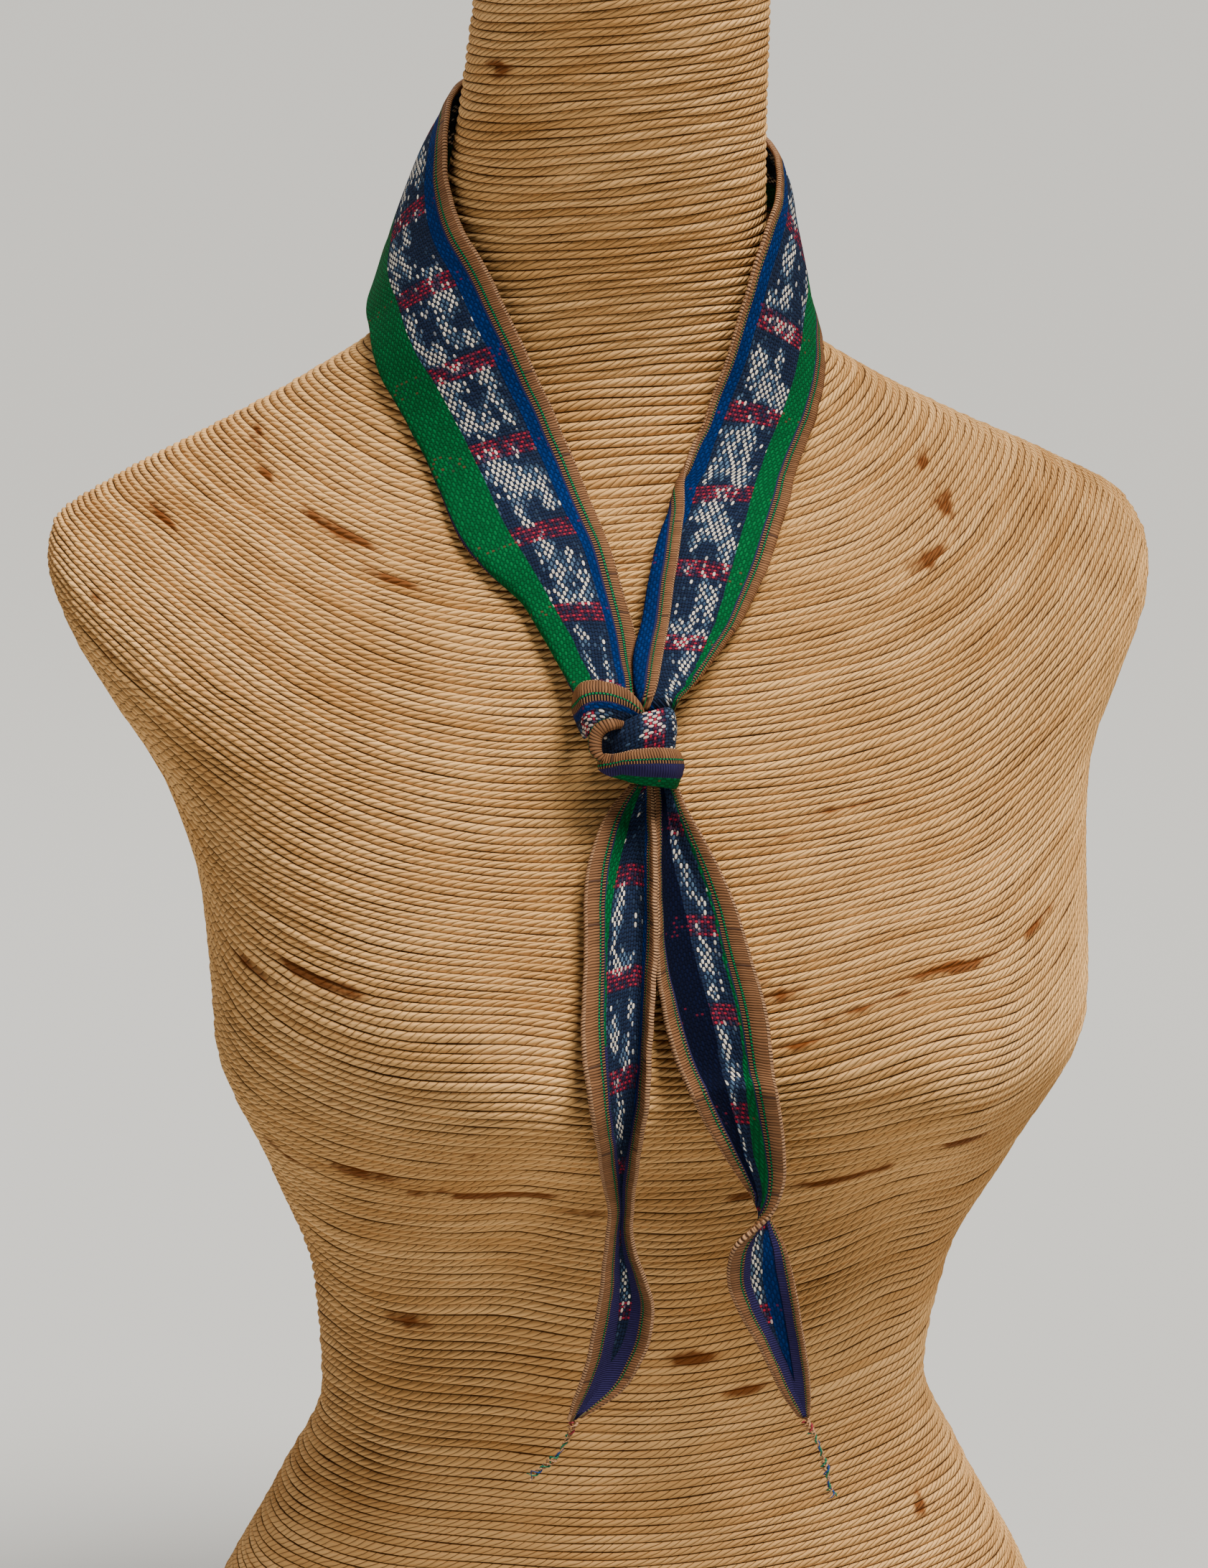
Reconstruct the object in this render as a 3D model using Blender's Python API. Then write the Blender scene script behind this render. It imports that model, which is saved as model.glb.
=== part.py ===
"""Woven neck scarf with pointed ends, knotted once in front, on a limbless dress form.

The form stands on its flat base at z = 0 and faces -y. Lengths in the tables are in
millimetres; the finished objects are in metres.
"""
import math
from typing import NamedTuple

import bmesh
import bpy
import numpy as np

MM = 0.001

# Cloth
CLOTH_T = 1.4
BORDER_T = 2.0
BEAD_T = 2.6
BORDER_WIDTH = 6.5
FOLD_RADIUS = 1.6
SEAM_GAP = 0.3

# Dress form
FORM_AROUND = 56
BUST_X = 75.0
BUST_Z = 340.0
BUST_OUT = 48.0
BUST_REACH_X = 64.0
BUST_REACH_Z = 50.0

# Hanging ends: they rest on the chest and hang free below its fullest line
HANG_Y = -134.0
HANG_Z = 338.0
HANG_LEAN = 0.12
HANG_BLEND = 3.0

# Knot: the point of the form it lies over, its middle's stand-off, its half sizes and
# the padding that brings its body up under the stretches laid over it
KNOT_TURN = -13.8
KNOT_Z = 441.0
KNOT_LIFT = 12.5
KNOT_HALF_WIDTH = 16.0
KNOT_HALF_HEIGHT = 16.0
KNOT_HALF_DEPTH = 10.0
KNOT_SQUARENESS = 2.5
KNOT_PADDING = 0.5


class FormSection(NamedTuple):
    """Level section of the form: widths from its middle and how square it is."""
    z: float
    half_width: float
    front: float
    back: float
    mid_x: float
    mid_y: float
    squareness: float


FORM_SECTIONS = [
    FormSection(0, 173, 96, 98, 2, 0, 2.20),
    FormSection(45, 172, 97, 104, 2, 1, 2.20),
    FormSection(100, 155, 92, 98, 1, -1, 2.20),
    FormSection(150, 129, 84, 80, 0, -4, 2.15),
    FormSection(190, 112, 78, 68, 0, -8, 2.15),
    FormSection(235, 117, 79, 74, 2, -12, 2.15),
    FormSection(280, 136, 82, 84, 5.5, -17, 2.20),
    FormSection(330, 157, 84, 95, 8, -21, 2.30),
    FormSection(380, 158, 82, 100, 6, -20, 2.40),
    FormSection(420, 165, 80, 97, 2, -13, 2.50),
    FormSection(450, 181, 76, 91, 0, -5, 2.60),
    FormSection(475, 194, 70, 83, -0.5, 4, 2.60),
    FormSection(492, 198, 64, 73, -1.5, 12, 2.50),
    FormSection(506, 194, 58, 65, -3, 19, 2.40),
    FormSection(520, 171, 53, 58, -4.5, 26, 2.20),
    FormSection(536, 136, 50, 54, -5.5, 31, 2.05),
    FormSection(552, 104, 49, 52, -5.5, 33, 2.00),
    FormSection(570, 76, 50, 52, -4.5, 31, 2.00),
    FormSection(592, 62, 51, 51, -3, 25, 2.00),
    FormSection(632, 55, 51, 50, -1.5, 12, 2.00),
    FormSection(692, 50, 50, 48, 0, -5, 2.00),
    FormSection(714, 47, 47, 45, 1, -11, 2.00),
    FormSection(728, 41, 41, 39, 1, -15, 2.00),
    FormSection(736, 31, 31, 30, 1, -17, 2.00),
    FormSection(740, 18, 18, 18, 1, -18, 2.00),
]


class LoopRow(NamedTuple):
    """Section of the neck loop between its two visible edges.

    Turns are degrees from the front, lifts are off the form. `over` is the border
    folded over to the front at the inner edge, `tuck` the cloth folded under at the
    outer edge.
    """
    inner_turn: float
    inner_z: float
    inner_lift: float
    outer_turn: float
    outer_z: float
    outer_lift: float
    bulge: float
    over: float
    tuck: float


LOOP_ROWS = [
    LoopRow(-9.9, 449.0, 18, -23.3, 453.8, 15, 2, 0, 6),
    LoopRow(-9.6, 455.5, 14, -24.6, 459.0, 12, 2.5, 0, 8),
    LoopRow(-9.2, 464.0, 9.5, -27.0, 466.1, 8, 3, 0, 11),
    LoopRow(-9.3, 473.0, 7.5, -30.1, 474.7, 6.5, 3, 0, 12),
    LoopRow(-10.8, 485.5, 6, -34.2, 484.6, 5.5, 3.5, 0, 12),
    LoopRow(-12.5, 499.0, 6, -40.2, 493.0, 5.5, 4, 0, 11),
    LoopRow(-15.6, 510.7, 6.5, -45.9, 502.8, 5, 4, 0, 10),
    LoopRow(-19.9, 525.7, 8, -50.6, 516.9, 5, 4, 0, 10),
    LoopRow(-26.3, 544.5, 9, -55.6, 531.7, 5, 4, 0, 10),
    LoopRow(-33.4, 563.6, 9, -61.6, 544.9, 5, 4.5, 0, 9),
    LoopRow(-42.8, 582.2, 8, -69.6, 557.3, 6, 5, 0, 7),
    LoopRow(-52.4, 596.4, 7, -79.5, 567.3, 8, 5, 0, 4),
    LoopRow(-68.0, 610.5, 4.5, -91.0, 576.5, 10.5, 5, 0, 2),
    LoopRow(-81.0, 623.0, 3.6, -100.0, 589.5, 13.8, 4.5, 0, 1),
    LoopRow(-92.0, 637.5, 3.6, -108.0, 600.5, 13.5, 4, 0, 1),
    LoopRow(-106.0, 648.5, 3.4, -119.0, 608.5, 12.2, 4, 0, 1),
    LoopRow(-128.0, 656.0, 3.3, -138.0, 610.0, 10, 4, 0, 1),
    LoopRow(-153.0, 659.0, 3.2, -158.0, 608.0, 8, 3.5, 0, 1),
    LoopRow(-180.0, 658.0, 3.2, -180.0, 604.0, 7.5, 3.5, 0, 1),
    LoopRow(-207.0, 653.0, 3.2, -203.0, 601.5, 8, 3.5, 0, 1),
    LoopRow(-233.0, 645.5, 3.2, -225.0, 600.5, 9, 3.5, 0, 1),
    LoopRow(-256.0, 636.5, 3.2, -246.0, 601.5, 10.5, 3.5, 0, 1),
    LoopRow(-273.0, 630.2, 3.3, -262.0, 601.0, 10.5, 3.5, 0, 1),
    LoopRow(-282.0, 626.0, 4, -272.0, 594.0, 7.8, 3.5, 0, 1),
    LoopRow(-290.5, 617.0, 4.8, -280.0, 578.0, 6.8, 3.5, 0, 1),
    LoopRow(-301.5, 606.5, 5.4, -286.5, 566.5, 7, 3.5, 0, 1),
    LoopRow(-311.0, 592.7, 6.3, -290.5, 560.5, 6.2, 3.5, 0, 1),
    LoopRow(-317.2, 577.5, 8, -294.0, 553.5, 5.5, 3.5, 0, 1),
    LoopRow(-322.0, 559.0, 9, -299.0, 543.0, 5, 3.5, 0, 1),
    LoopRow(-327.5, 541.5, 9, -304.0, 532.5, 5, 3.5, 0, 1),
    LoopRow(-336.5, 522.5, 8, -310.5, 520.5, 5, 3.5, 0, 1),
    LoopRow(-347.5, 507.5, 7, -318.5, 506.5, 5, 3.5, 3, 1),
    LoopRow(-355.8, 496.5, 7, -328.0, 492.0, 5, 3.5, 5.5, 1),
    LoopRow(-361.8, 486.5, 7.2, -335.3, 482.5, 5.5, 3.5, 7.5, 2),
    LoopRow(-366.6, 475.8, 8.5, -342.5, 473.5, 7, 3, 9, 3),
    LoopRow(-369.2, 465.5, 11.5, -350.0, 464.3, 10.5, 2, 8.5, 3),
    LoopRow(-370.0, 455.4, 16.5, -356.8, 455.0, 15.5, 1.5, 7, 3),
    LoopRow(-370.3, 448.5, 20, -360.5, 448.8, 19, 1, 5, 2),
]


class TailRow(NamedTuple):
    """Section of a hanging end: x and forward stand-off of five places across it."""
    z: float
    x0: float
    out0: float
    x1: float
    out1: float
    x2: float
    out2: float
    x3: float
    out3: float
    x4: float
    out4: float


LEFT_TAIL_ROWS = [
    TailRow(431.4, -18.0, 8.5, -16.4, 8, -14.8, 8, -13.2, 8.5, -12.2, 9.5),
    TailRow(424, -26.0, 9, -21.0, 8, -16.5, 7, -13.5, 8, -12.7, 10.5),
    TailRow(416, -31.5, 10, -24.7, 8, -18.0, 5.5, -14.3, 9, -13.6, 13),
    TailRow(406, -36.0, 11, -27.2, 8, -19.4, 4, -15.8, 10, -15.0, 16),
    TailRow(394, -38.5, 11, -29.8, 8, -20.6, 4, -17.2, 10, -16.5, 17),
    TailRow(380, -40.7, 11, -32.0, 8, -22.2, 4, -19.2, 10, -18.4, 17),
    TailRow(364, -44.3, 11, -34.7, 8, -24.6, 4, -21.8, 10, -21.0, 17),
    TailRow(350, -45.0, 11, -36.0, 8, -26.6, 4, -23.9, 9, -23.1, 16),
    TailRow(336, -43.0, 10, -35.0, 7, -28.2, 4, -25.6, 8, -24.4, 14),
    TailRow(322, -39.5, 9, -33.0, 6.5, -28.8, 4, -26.6, 7, -25.2, 12),
    TailRow(310, -36.5, 8, -31.9, 6, -28.9, 4, -26.7, 6, -24.9, 9.5),
    TailRow(298, -33.6, 7, -31.0, 5.5, -28.9, 4, -27.0, 5, -25.3, 8),
    TailRow(286, -34.0, 7, -31.0, 4.5, -28.4, 3, -26.6, 4, -25.0, 7),
    TailRow(272, -35.2, 7, -30.6, 4, -26.4, 2.5, -23.2, 4, -20.6, 8),
    TailRow(262, -36.2, 7, -30.7, 4, -25.7, 2.5, -21.3, 4, -17.6, 8),
    TailRow(250, -38.0, 7, -32.0, 4, -26.7, 2.5, -22.0, 4, -18.0, 8),
    TailRow(240, -40.0, 7, -34.8, 4, -29.9, 2.5, -25.4, 4, -21.6, 8),
    TailRow(230, -42.8, 6.3, -38.9, 4.5, -35.0, 3.5, -31.2, 4.5, -27.6, 7),
    TailRow(221, -45.2, 6, -44.2, 5, -42.8, 4.5, -41.3, 5, -40.0, 5.6),
]

RIGHT_TAIL_ROWS = [
    TailRow(433.4, -9.0, 8.5, -8.0, 8, -6.6, 8, -5.0, 8.5, -3.6, 9.5),
    TailRow(424, -9.4, 8.5, -7.6, 7, -5.6, 6.5, -2.6, 8, 0.0, 10),
    TailRow(416, -10.8, 10, -8.4, 6.5, -5.4, 4.5, -0.4, 8, 3.8, 11),
    TailRow(406, -11.9, 12.5, -9.2, 7, -4.4, 4, 3.0, 8, 8.6, 11),
    TailRow(394, -13.4, 12.5, -9.8, 6, -2.2, 4, 6.2, 7.5, 13.0, 11),
    TailRow(380, -15.4, 12, -10.2, 6, -0.4, 4, 8.6, 7.5, 16.0, 11),
    TailRow(364, -15.4, 11, -8.6, 6, 2.6, 4, 11.6, 7.5, 19.3, 11),
    TailRow(350, -12.5, 10, -5.0, 5.5, 5.0, 4, 13.2, 7.5, 20.3, 11),
    TailRow(338, -8.0, 9, -1.2, 5.5, 7.2, 4, 14.2, 7.5, 20.8, 11),
    TailRow(326, -2.0, 7, 3.8, 5, 10.0, 4, 16.4, 7.5, 23.0, 11),
    TailRow(314, 5.0, 5.5, 9.0, 4.5, 13.6, 4.5, 19.0, 8, 24.3, 12),
    TailRow(303, 12.0, 4, 14.3, 4.3, 16.8, 5.2, 19.9, 8.5, 24.2, 12.5),
    TailRow(293, 19.4, 2.8, 18.8, 4.8, 18.4, 7, 18.6, 9.6, 19.9, 12.6),
    TailRow(284, 25.4, 2.8, 21.8, 4.5, 17.6, 7, 13.2, 9.6, 9.2, 11.6),
    TailRow(276, 28.8, 3.6, 24.2, 4, 18.6, 6, 12.6, 8.5, 7.0, 10),
    TailRow(267, 31.1, 5, 26.4, 3.4, 20.4, 3.4, 13.8, 5.6, 7.8, 8),
    TailRow(257, 33.1, 6, 28.5, 3.4, 23.0, 2.6, 17.2, 4.4, 11.8, 7),
    TailRow(244, 35.5, 6, 31.8, 3.6, 27.5, 2.8, 23.1, 4.2, 19.1, 6.6),
    TailRow(232, 37.7, 6, 34.7, 4.2, 31.3, 3.4, 27.9, 4.4, 24.7, 6),
    TailRow(222, 38.9, 5.4, 36.8, 4.6, 34.5, 4.2, 32.1, 4.8, 29.8, 5.4),
    TailRow(214.5, 39.0, 5.2, 38.0, 4.8, 37.0, 4.6, 35.8, 4.8, 34.8, 5.2),
]


class WrapRow(NamedTuple):
    """Section of a stretch laid over the knot, in the knot's own axes.

    a is to the right, b up the chest and h out of it, from the knot's middle.
    """
    top_a: float
    top_b: float
    top_h: float
    low_a: float
    low_b: float
    low_h: float


UPPER_WRAP_ROWS = [
    WrapRow(-14.4, 13.4, -7.5, -15.5, 1.5, -7.5),
    WrapRow(-17.4, 15.4, -1.0, -18.8, 2.0, -1.5),
    WrapRow(-15.5, 17.3, 6.5, -17.4, 2.5, 8.0),
    WrapRow(-10.0, 18.3, 10.0, -12.5, 7.2, 12.0),
    WrapRow(-3.2, 14.2, 12.5, -5.2, 7.4, 14.0),
    WrapRow(3.2, 8.9, 14.0, 0.6, 7.0, 14.2),
]
SIDE_WRAP_ROWS = [
    WrapRow(-2.6, 4.9, 11.4, -3.2, 2.8, 11.4),
    WrapRow(-8.4, 5.2, 11.0, -8.2, 2.9, 11.0),
    WrapRow(-13.0, 2.0, 9.0, -10.9, 0.6, 10.0),
    WrapRow(-15.2, -2.2, 7.0, -12.7, -2.4, 9.0),
    WrapRow(-14.8, -5.8, 7.0, -12.5, -5.2, 8.5),
    WrapRow(-13.4, -7.6, 7.5, -11.4, -6.6, 8.5),
]
FRONT_WRAP_ROWS = [
    WrapRow(-9.4, -0.4, 10.0, -10.2, -5.6, 9.5),
    WrapRow(-3.2, 1.4, 12.5, -4.0, -5.8, 12.0),
    WrapRow(3.0, 4.4, 13.2, 2.8, -4.6, 13.2),
    WrapRow(9.5, 5.8, 12.0, 9.0, -4.8, 12.0),
    WrapRow(14.5, 5.8, 8.0, 14.5, -5.0, 8.5),
    WrapRow(18.0, 5.0, 0.5, 18.4, -5.0, 0.5),
    WrapRow(15.5, 4.6, -8.0, 15.8, -4.8, -8.0),
]
LOWER_WRAP_ROWS = [
    WrapRow(-12.2, -10.2, 8.6, -10.0, -14.6, 6.5),
    WrapRow(-4.4, -8.0, 12.8, -4.6, -17.4, 6.0),
    WrapRow(2.8, -6.8, 13.8, 2.4, -18.4, 4.5),
    WrapRow(9.5, -6.9, 12.8, 10.0, -18.2, 3.5),
    WrapRow(15.2, -7.1, 9.2, 16.0, -14.5, 3.0),
    WrapRow(19.0, -7.2, 0.5, 18.4, -12.5, -1.5),
    WrapRow(16.2, -7.0, -8.0, 15.2, -11.5, -8.5),
]


class ThreadPoint(NamedTuple):
    """Place along a thread end: x, z, forward stand-off and half thickness."""
    x: float
    z: float
    out: float
    radius: float


LEFT_THREAD = [
    ThreadPoint(-42.9, 220.2, 5.2, 1.1),
    ThreadPoint(-44.6, 214.6, 5.0, 0.8),
    ThreadPoint(-47.8, 207.8, 4.6, 0.7),
    ThreadPoint(-50.0, 205.6, 4.4, 1.1),
    ThreadPoint(-53.5, 202.7, 4.2, 0.7),
    ThreadPoint(-57.7, 199.6, 4.0, 0.5),
]
RIGHT_THREAD = [
    ThreadPoint(37.1, 213.5, 5.0, 1.2),
    ThreadPoint(39.4, 209.0, 5.0, 1.3),
    ThreadPoint(42.4, 203.6, 4.7, 0.7),
    ThreadPoint(44.3, 198.6, 4.5, 0.7),
    ThreadPoint(45.5, 194.0, 4.4, 1.1),
    ThreadPoint(46.8, 189.0, 4.2, 0.7),
    ThreadPoint(48.4, 182.2, 4.0, 0.5),
]


# Form's surface

def smooth_rows(rows, at):
    """Monotone cubic values between rows, whose first column is the station."""
    table = np.asarray(rows, float)
    xs, ys = table[:, 0], table[:, 1:]
    step = np.diff(xs)[:, None]
    slope = np.diff(ys, axis=0) / step
    tangent = np.zeros_like(ys)
    tangent[0], tangent[-1] = slope[0], slope[-1]
    for i in range(1, len(xs) - 1):
        same = slope[i-1] * slope[i] > 0
        before = 2*step[i] + step[i-1]
        after = step[i] + 2*step[i-1]
        left = np.where(same, slope[i-1], 1.0)
        right = np.where(same, slope[i], 1.0)
        tangent[i] = np.where(same, (before + after) / (before/left + after/right), 0.0)
    at = np.asarray(at, float)
    i = np.clip(np.searchsorted(xs, at) - 1, 0, len(xs) - 2)
    t = ((at - xs[i]) / step[i, 0])[..., None]
    rise = (2*t**3 - 3*t**2 + 1)*ys[i] + (3*t**2 - 2*t**3)*ys[i+1]
    return rise + ((t**3 - 2*t**2 + t)*tangent[i] + (t**3 - t**2)*tangent[i+1])*step[i]


def bust_swell(x, z):
    """Forward swell of the bust at x and z."""
    across = np.exp(-((x - BUST_X)/BUST_REACH_X)**2) + np.exp(-((x + BUST_X)/BUST_REACH_X)**2)
    return BUST_OUT * across * np.exp(-((z - BUST_Z)/BUST_REACH_Z)**2)


def skin(turn, z):
    """Point of the form at a turn in degrees from the front, positive to +x."""
    row = smooth_rows(FORM_SECTIONS, z)
    width, front, back, mid_x, mid_y, power = [row[..., k] for k in range(6)]
    s, c = np.sin(np.radians(turn)), np.cos(np.radians(turn))
    depth = np.where(c > 0, front, back)
    reach = (np.abs(s/width)**power + np.abs(c/depth)**power) ** (-1/power)
    x = reach*s
    y = mid_y - reach*c - bust_swell(x, z)*np.clip(1.5*c, 0, 1)
    return np.stack([x + mid_x, y, z + 0*x], -1)


def off_skin(turn, z, lift):
    """Point at a distance off the form's surface."""
    turn, z = np.asarray(turn, float), np.asarray(z, float)
    around = skin(turn + 0.5, z) - skin(turn - 0.5, z)
    rise = skin(turn, z + 0.5) - skin(turn, z - 0.5)
    normal = np.cross(around, rise)
    normal /= np.linalg.norm(normal, axis=-1, keepdims=True)
    return skin(turn, z) + normal*np.asarray(lift, float)[..., None]


def rest_y(x, z):
    """Depth at which a hanging end lies, on the chest or free below it."""
    row = smooth_rows(FORM_SECTIONS, z)
    width, front, _, mid_x, mid_y, power = [row[..., k] for k in range(6)]
    aside = x - mid_x
    c = np.clip(1 - np.abs(aside/width)**power, 1e-6, 1) ** (1/power)
    chest = mid_y - front*c - bust_swell(aside, z)*np.clip(1.5*c, 0, 1)
    below = HANG_Z - np.asarray(z, float)
    hang = HANG_Y + np.where(below > 0, HANG_LEAN*below, -1.4*below) + 0*chest
    return -HANG_BLEND*np.log(np.exp(-chest/HANG_BLEND) + np.exp(-hang/HANG_BLEND))


# Knot's axes

KNOT_FOOT = off_skin(KNOT_TURN, KNOT_Z, 0.0)
KNOT_OUT = off_skin(KNOT_TURN, KNOT_Z, 1.0) - KNOT_FOOT
KNOT_RIGHT = np.cross([0.0, 0.0, 1.0], KNOT_OUT)
KNOT_RIGHT = KNOT_RIGHT / np.linalg.norm(KNOT_RIGHT)
KNOT_UP = np.cross(KNOT_OUT, KNOT_RIGHT)
KNOT_AXES = np.stack([KNOT_RIGHT, KNOT_UP, KNOT_OUT])
KNOT_MIDDLE = KNOT_FOOT + KNOT_LIFT*KNOT_OUT


def knot_size(grow):
    """Half sizes of the knot's body, grown all round."""
    return np.array([KNOT_HALF_WIDTH, KNOT_HALF_HEIGHT, KNOT_HALF_DEPTH]) + grow


def clear_of_knot(points, grow):
    """Move points that come nearer than `grow` to the knot's body out of it."""
    local = (points - KNOT_MIDDLE) @ KNOT_AXES.T
    power = KNOT_SQUARENESS
    inside = (np.abs(local/knot_size(grow))**power).sum(-1) ** (1/power)
    local = local / np.minimum(inside, 1.0)[..., None]
    return KNOT_MIDDLE + local @ KNOT_AXES


# Strips of cloth

def spline(rows, count):
    """Rows read at even steps along smooth curves through a table's rows."""
    table = np.asarray(rows, float)
    slope = np.gradient(table, axis=0)
    at = np.linspace(0, len(table) - 1, count)
    i = np.minimum(at.astype(int), len(table) - 2)
    t = (at - i)[:, None]
    return ((2*t**3 - 3*t**2 + 1)*table[i] + (3*t**2 - 2*t**3)*table[i+1]
            + (t**3 - 2*t**2 + t)*slope[i] + (t**3 - t**2)*slope[i+1])


def along_curve(points, shares):
    """Points at shares of the length of a polyline."""
    steps = np.linalg.norm(np.diff(points, axis=0), axis=1)
    length = np.concatenate([[0], np.cumsum(steps)])
    at = np.asarray(shares) * length[-1]
    return np.stack([np.interp(at, length, points[:, k]) for k in range(3)], -1), length[-1]


def rolled_edge(corner, inward, outward, margin, tilt):
    """Margin rolled back over the cloth at a corner, from its free edge to the corner."""
    angle = math.pi * min(1.0, max(margin, 0.5) / 5.0)
    margin = max(margin, 1.0)
    curl = min(max(FOLD_RADIUS*angle, 0.45*margin), 0.7*margin)
    points = []
    for run in (margin, 0.5*(margin + curl), curl, 0.66*curl, 0.33*curl):
        bent = min(run, FOLD_RADIUS*angle)
        turn = bent / FOLD_RADIUS
        rest = run - bent
        back = FOLD_RADIUS*math.sin(turn) + rest*math.cos(turn)
        up = FOLD_RADIUS*(1 - math.cos(turn)) + rest*math.sin(turn)
        a = -back*math.cos(tilt) - up*math.sin(tilt)
        h = -back*math.sin(tilt) + up*math.cos(tilt)
        points.append(corner + a*inward + h*outward)
    return points


def loop_section(row):
    """Line across the neck loop, from the inner edge to the outer one."""
    row = LoopRow(*row)
    inner = off_skin(row.inner_turn, row.inner_z, row.inner_lift)
    outer = off_skin(row.outer_turn, row.outer_z, row.outer_lift)
    chord = outer - inner
    width = np.linalg.norm(chord)
    across = chord / width
    out = (off_skin(row.inner_turn, row.inner_z, 1.0) - off_skin(row.inner_turn, row.inner_z, 0.0)
           + off_skin(row.outer_turn, row.outer_z, 1.0) - off_skin(row.outer_turn, row.outer_z, 0.0))
    out = out - across*(out @ across)
    out = out / np.linalg.norm(out)
    tilt = math.atan(math.pi*row.bulge/width)
    line = rolled_edge(inner, across, out, row.over, tilt)
    for t in np.linspace(0, 1, 9):
        line.append(inner + chord*t + out*row.bulge*math.sin(math.pi*t))
    line += rolled_edge(outer, -across, -out, row.tuck, -tilt)[::-1]
    return clear_of_knot(np.array(line), SEAM_GAP + 0.7*BEAD_T)


def tail_section(row):
    """Line across a hanging end."""
    row = np.asarray(row, float)
    z = row[0]
    places = np.array([[x, rest_y(x, z) - out, z] for x, out in row[1:].reshape(5, 2)])
    fine = spline(places, 25)
    shares = [0.0, 0.04, 0.12, 0.2, 0.3, 0.4, 0.5, 0.6, 0.7, 0.8, 0.88, 0.96, 1.0]
    return clear_of_knot(along_curve(fine, shares)[0], SEAM_GAP + 0.6*BEAD_T)


def wrap_section(row, margin):
    """Line across a stretch of the knot, kept off its body."""
    row = WrapRow(*row)
    top = np.array([row.top_a, row.top_b, row.top_h])
    low = np.array([row.low_a, row.low_b, row.low_h])
    line = np.array([top + (low - top)*t for t in np.linspace(0, 1, 7)])
    return clear_of_knot(KNOT_MIDDLE + line @ KNOT_AXES, margin)


def sheet_object(name, lines, thickness, material):
    """Closed wall of cloth through lines of points, thickness set across it."""
    mid = np.array(lines)
    count, across = mid.shape[:2]
    run = np.gradient(mid, axis=0)
    side = np.gradient(mid, axis=1)
    normal = np.cross(side, run)
    normal /= np.linalg.norm(normal, axis=-1, keepdims=True)
    half = 0.5*np.asarray(thickness)[None, :, None]
    ring = np.concatenate([mid + normal*half, (mid - normal*half)[:, ::-1]], axis=1)
    return loft_object(name, ring, material)


def loft_object(name, rings, material):
    """Closed body through rings of points, its ends capped."""
    mesh = bpy.data.meshes.new(name)
    body = bmesh.new()
    layers = [[body.verts.new(point*MM) for point in ring] for ring in rings]
    around = len(layers[0])
    for low, high in zip(layers[:-1], layers[1:]):
        for k in range(around):
            body.faces.new((low[k], low[(k+1) % around], high[(k+1) % around], high[k]))
    for ring in (layers[0], layers[-1]):
        if name == "dress_form" or "thread" in name:
            body.faces.new(ring)
        else:
            for k in range(around//2 - 1):
                body.faces.new((ring[k], ring[k+1], ring[around-2-k], ring[around-1-k]))
    bmesh.ops.triangulate(body, faces=body.faces[:])
    bmesh.ops.recalc_face_normals(body, faces=body.faces[:])
    if body.calc_volume(signed=True) < 0:
        bmesh.ops.reverse_faces(body, faces=body.faces[:])
    body.to_mesh(mesh)
    body.free()
    mesh.materials.append(material)
    item = bpy.data.objects.new(name, mesh)
    COLLECTION.objects.link(item)
    return item


def new_material(name, colour, roughness):
    """Plain Principled material."""
    material = bpy.data.materials.new(name)
    material.use_nodes = True
    shader = next(n for n in material.node_tree.nodes if n.type == "BSDF_PRINCIPLED")
    shader.inputs["Base Color"].default_value = (*colour, 1.0)
    shader.inputs["Roughness"].default_value = roughness
    material.diffuse_color = (*colour, 1.0)
    return material


def wall_profile(shares_mm):
    """Thickness at distances from the nearest edge: bead, border, cloth."""
    return np.interp(shares_mm, [0, 1.2, 3.5, BORDER_WIDTH, BORDER_WIDTH + 1],
                     [0.5*BEAD_T, BEAD_T, BORDER_T, BORDER_T, CLOTH_T])


# Pieces

def build_form():
    """Body of the form, lofted through level sections, on a flat base."""
    bands = [(0, 480, 25), (480, 600, 12), (600, 714, 6), (714, 740, 4)]
    levels = [z for low, high, n in bands for z in np.linspace(low, high, n, endpoint=False)]
    levels.append(740)
    turns = np.linspace(0, 360, FORM_AROUND, endpoint=False)
    rings = [skin(turns, np.full(FORM_AROUND, float(z))) for z in levels]
    return loft_object("dress_form", rings, new_material("jute_winding", (0.55, 0.33, 0.15), 0.9))


def build_loop():
    """Stretch round the neck with both lapels."""
    lines = [loop_section(row) for row in spline(LOOP_ROWS, 56)]
    reach = [0, 1.2, 3.5, 5, 7, 8, 12, 17, 22, 28, 22, 17, 12, 8, 7, 5, 3.5, 1.2, 0]
    return sheet_object("neck_loop", lines, wall_profile(reach), CLOTH)


def build_tail(name, rows):
    """Hanging end, a trough that closes and opens again towards its point."""
    lines = [tail_section(row) for row in spline(rows, 2*len(rows) - 1)]
    reach = [0, 1.2, 4, 6.5, 9, 12, 15, 12, 9, 6.5, 4, 1.2, 0]
    return sheet_object(name, lines, wall_profile(reach), CLOTH)


def build_wrap(name, rows, grow, rim_at_low):
    """Stretch laid over the knot's body with a thick rim along its top."""
    half = 0.5*BEAD_T
    lines = [wrap_section(row, SEAM_GAP + grow + half) for row in spline(rows, 2*len(rows) + 1)]
    low = [BORDER_T, 0.5*BEAD_T] if rim_at_low else [CLOTH_T, 0.7*CLOTH_T]
    return sheet_object(name, lines, [0.5*BEAD_T, BEAD_T, BORDER_T, CLOTH_T, CLOTH_T] + low, CLOTH)


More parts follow.
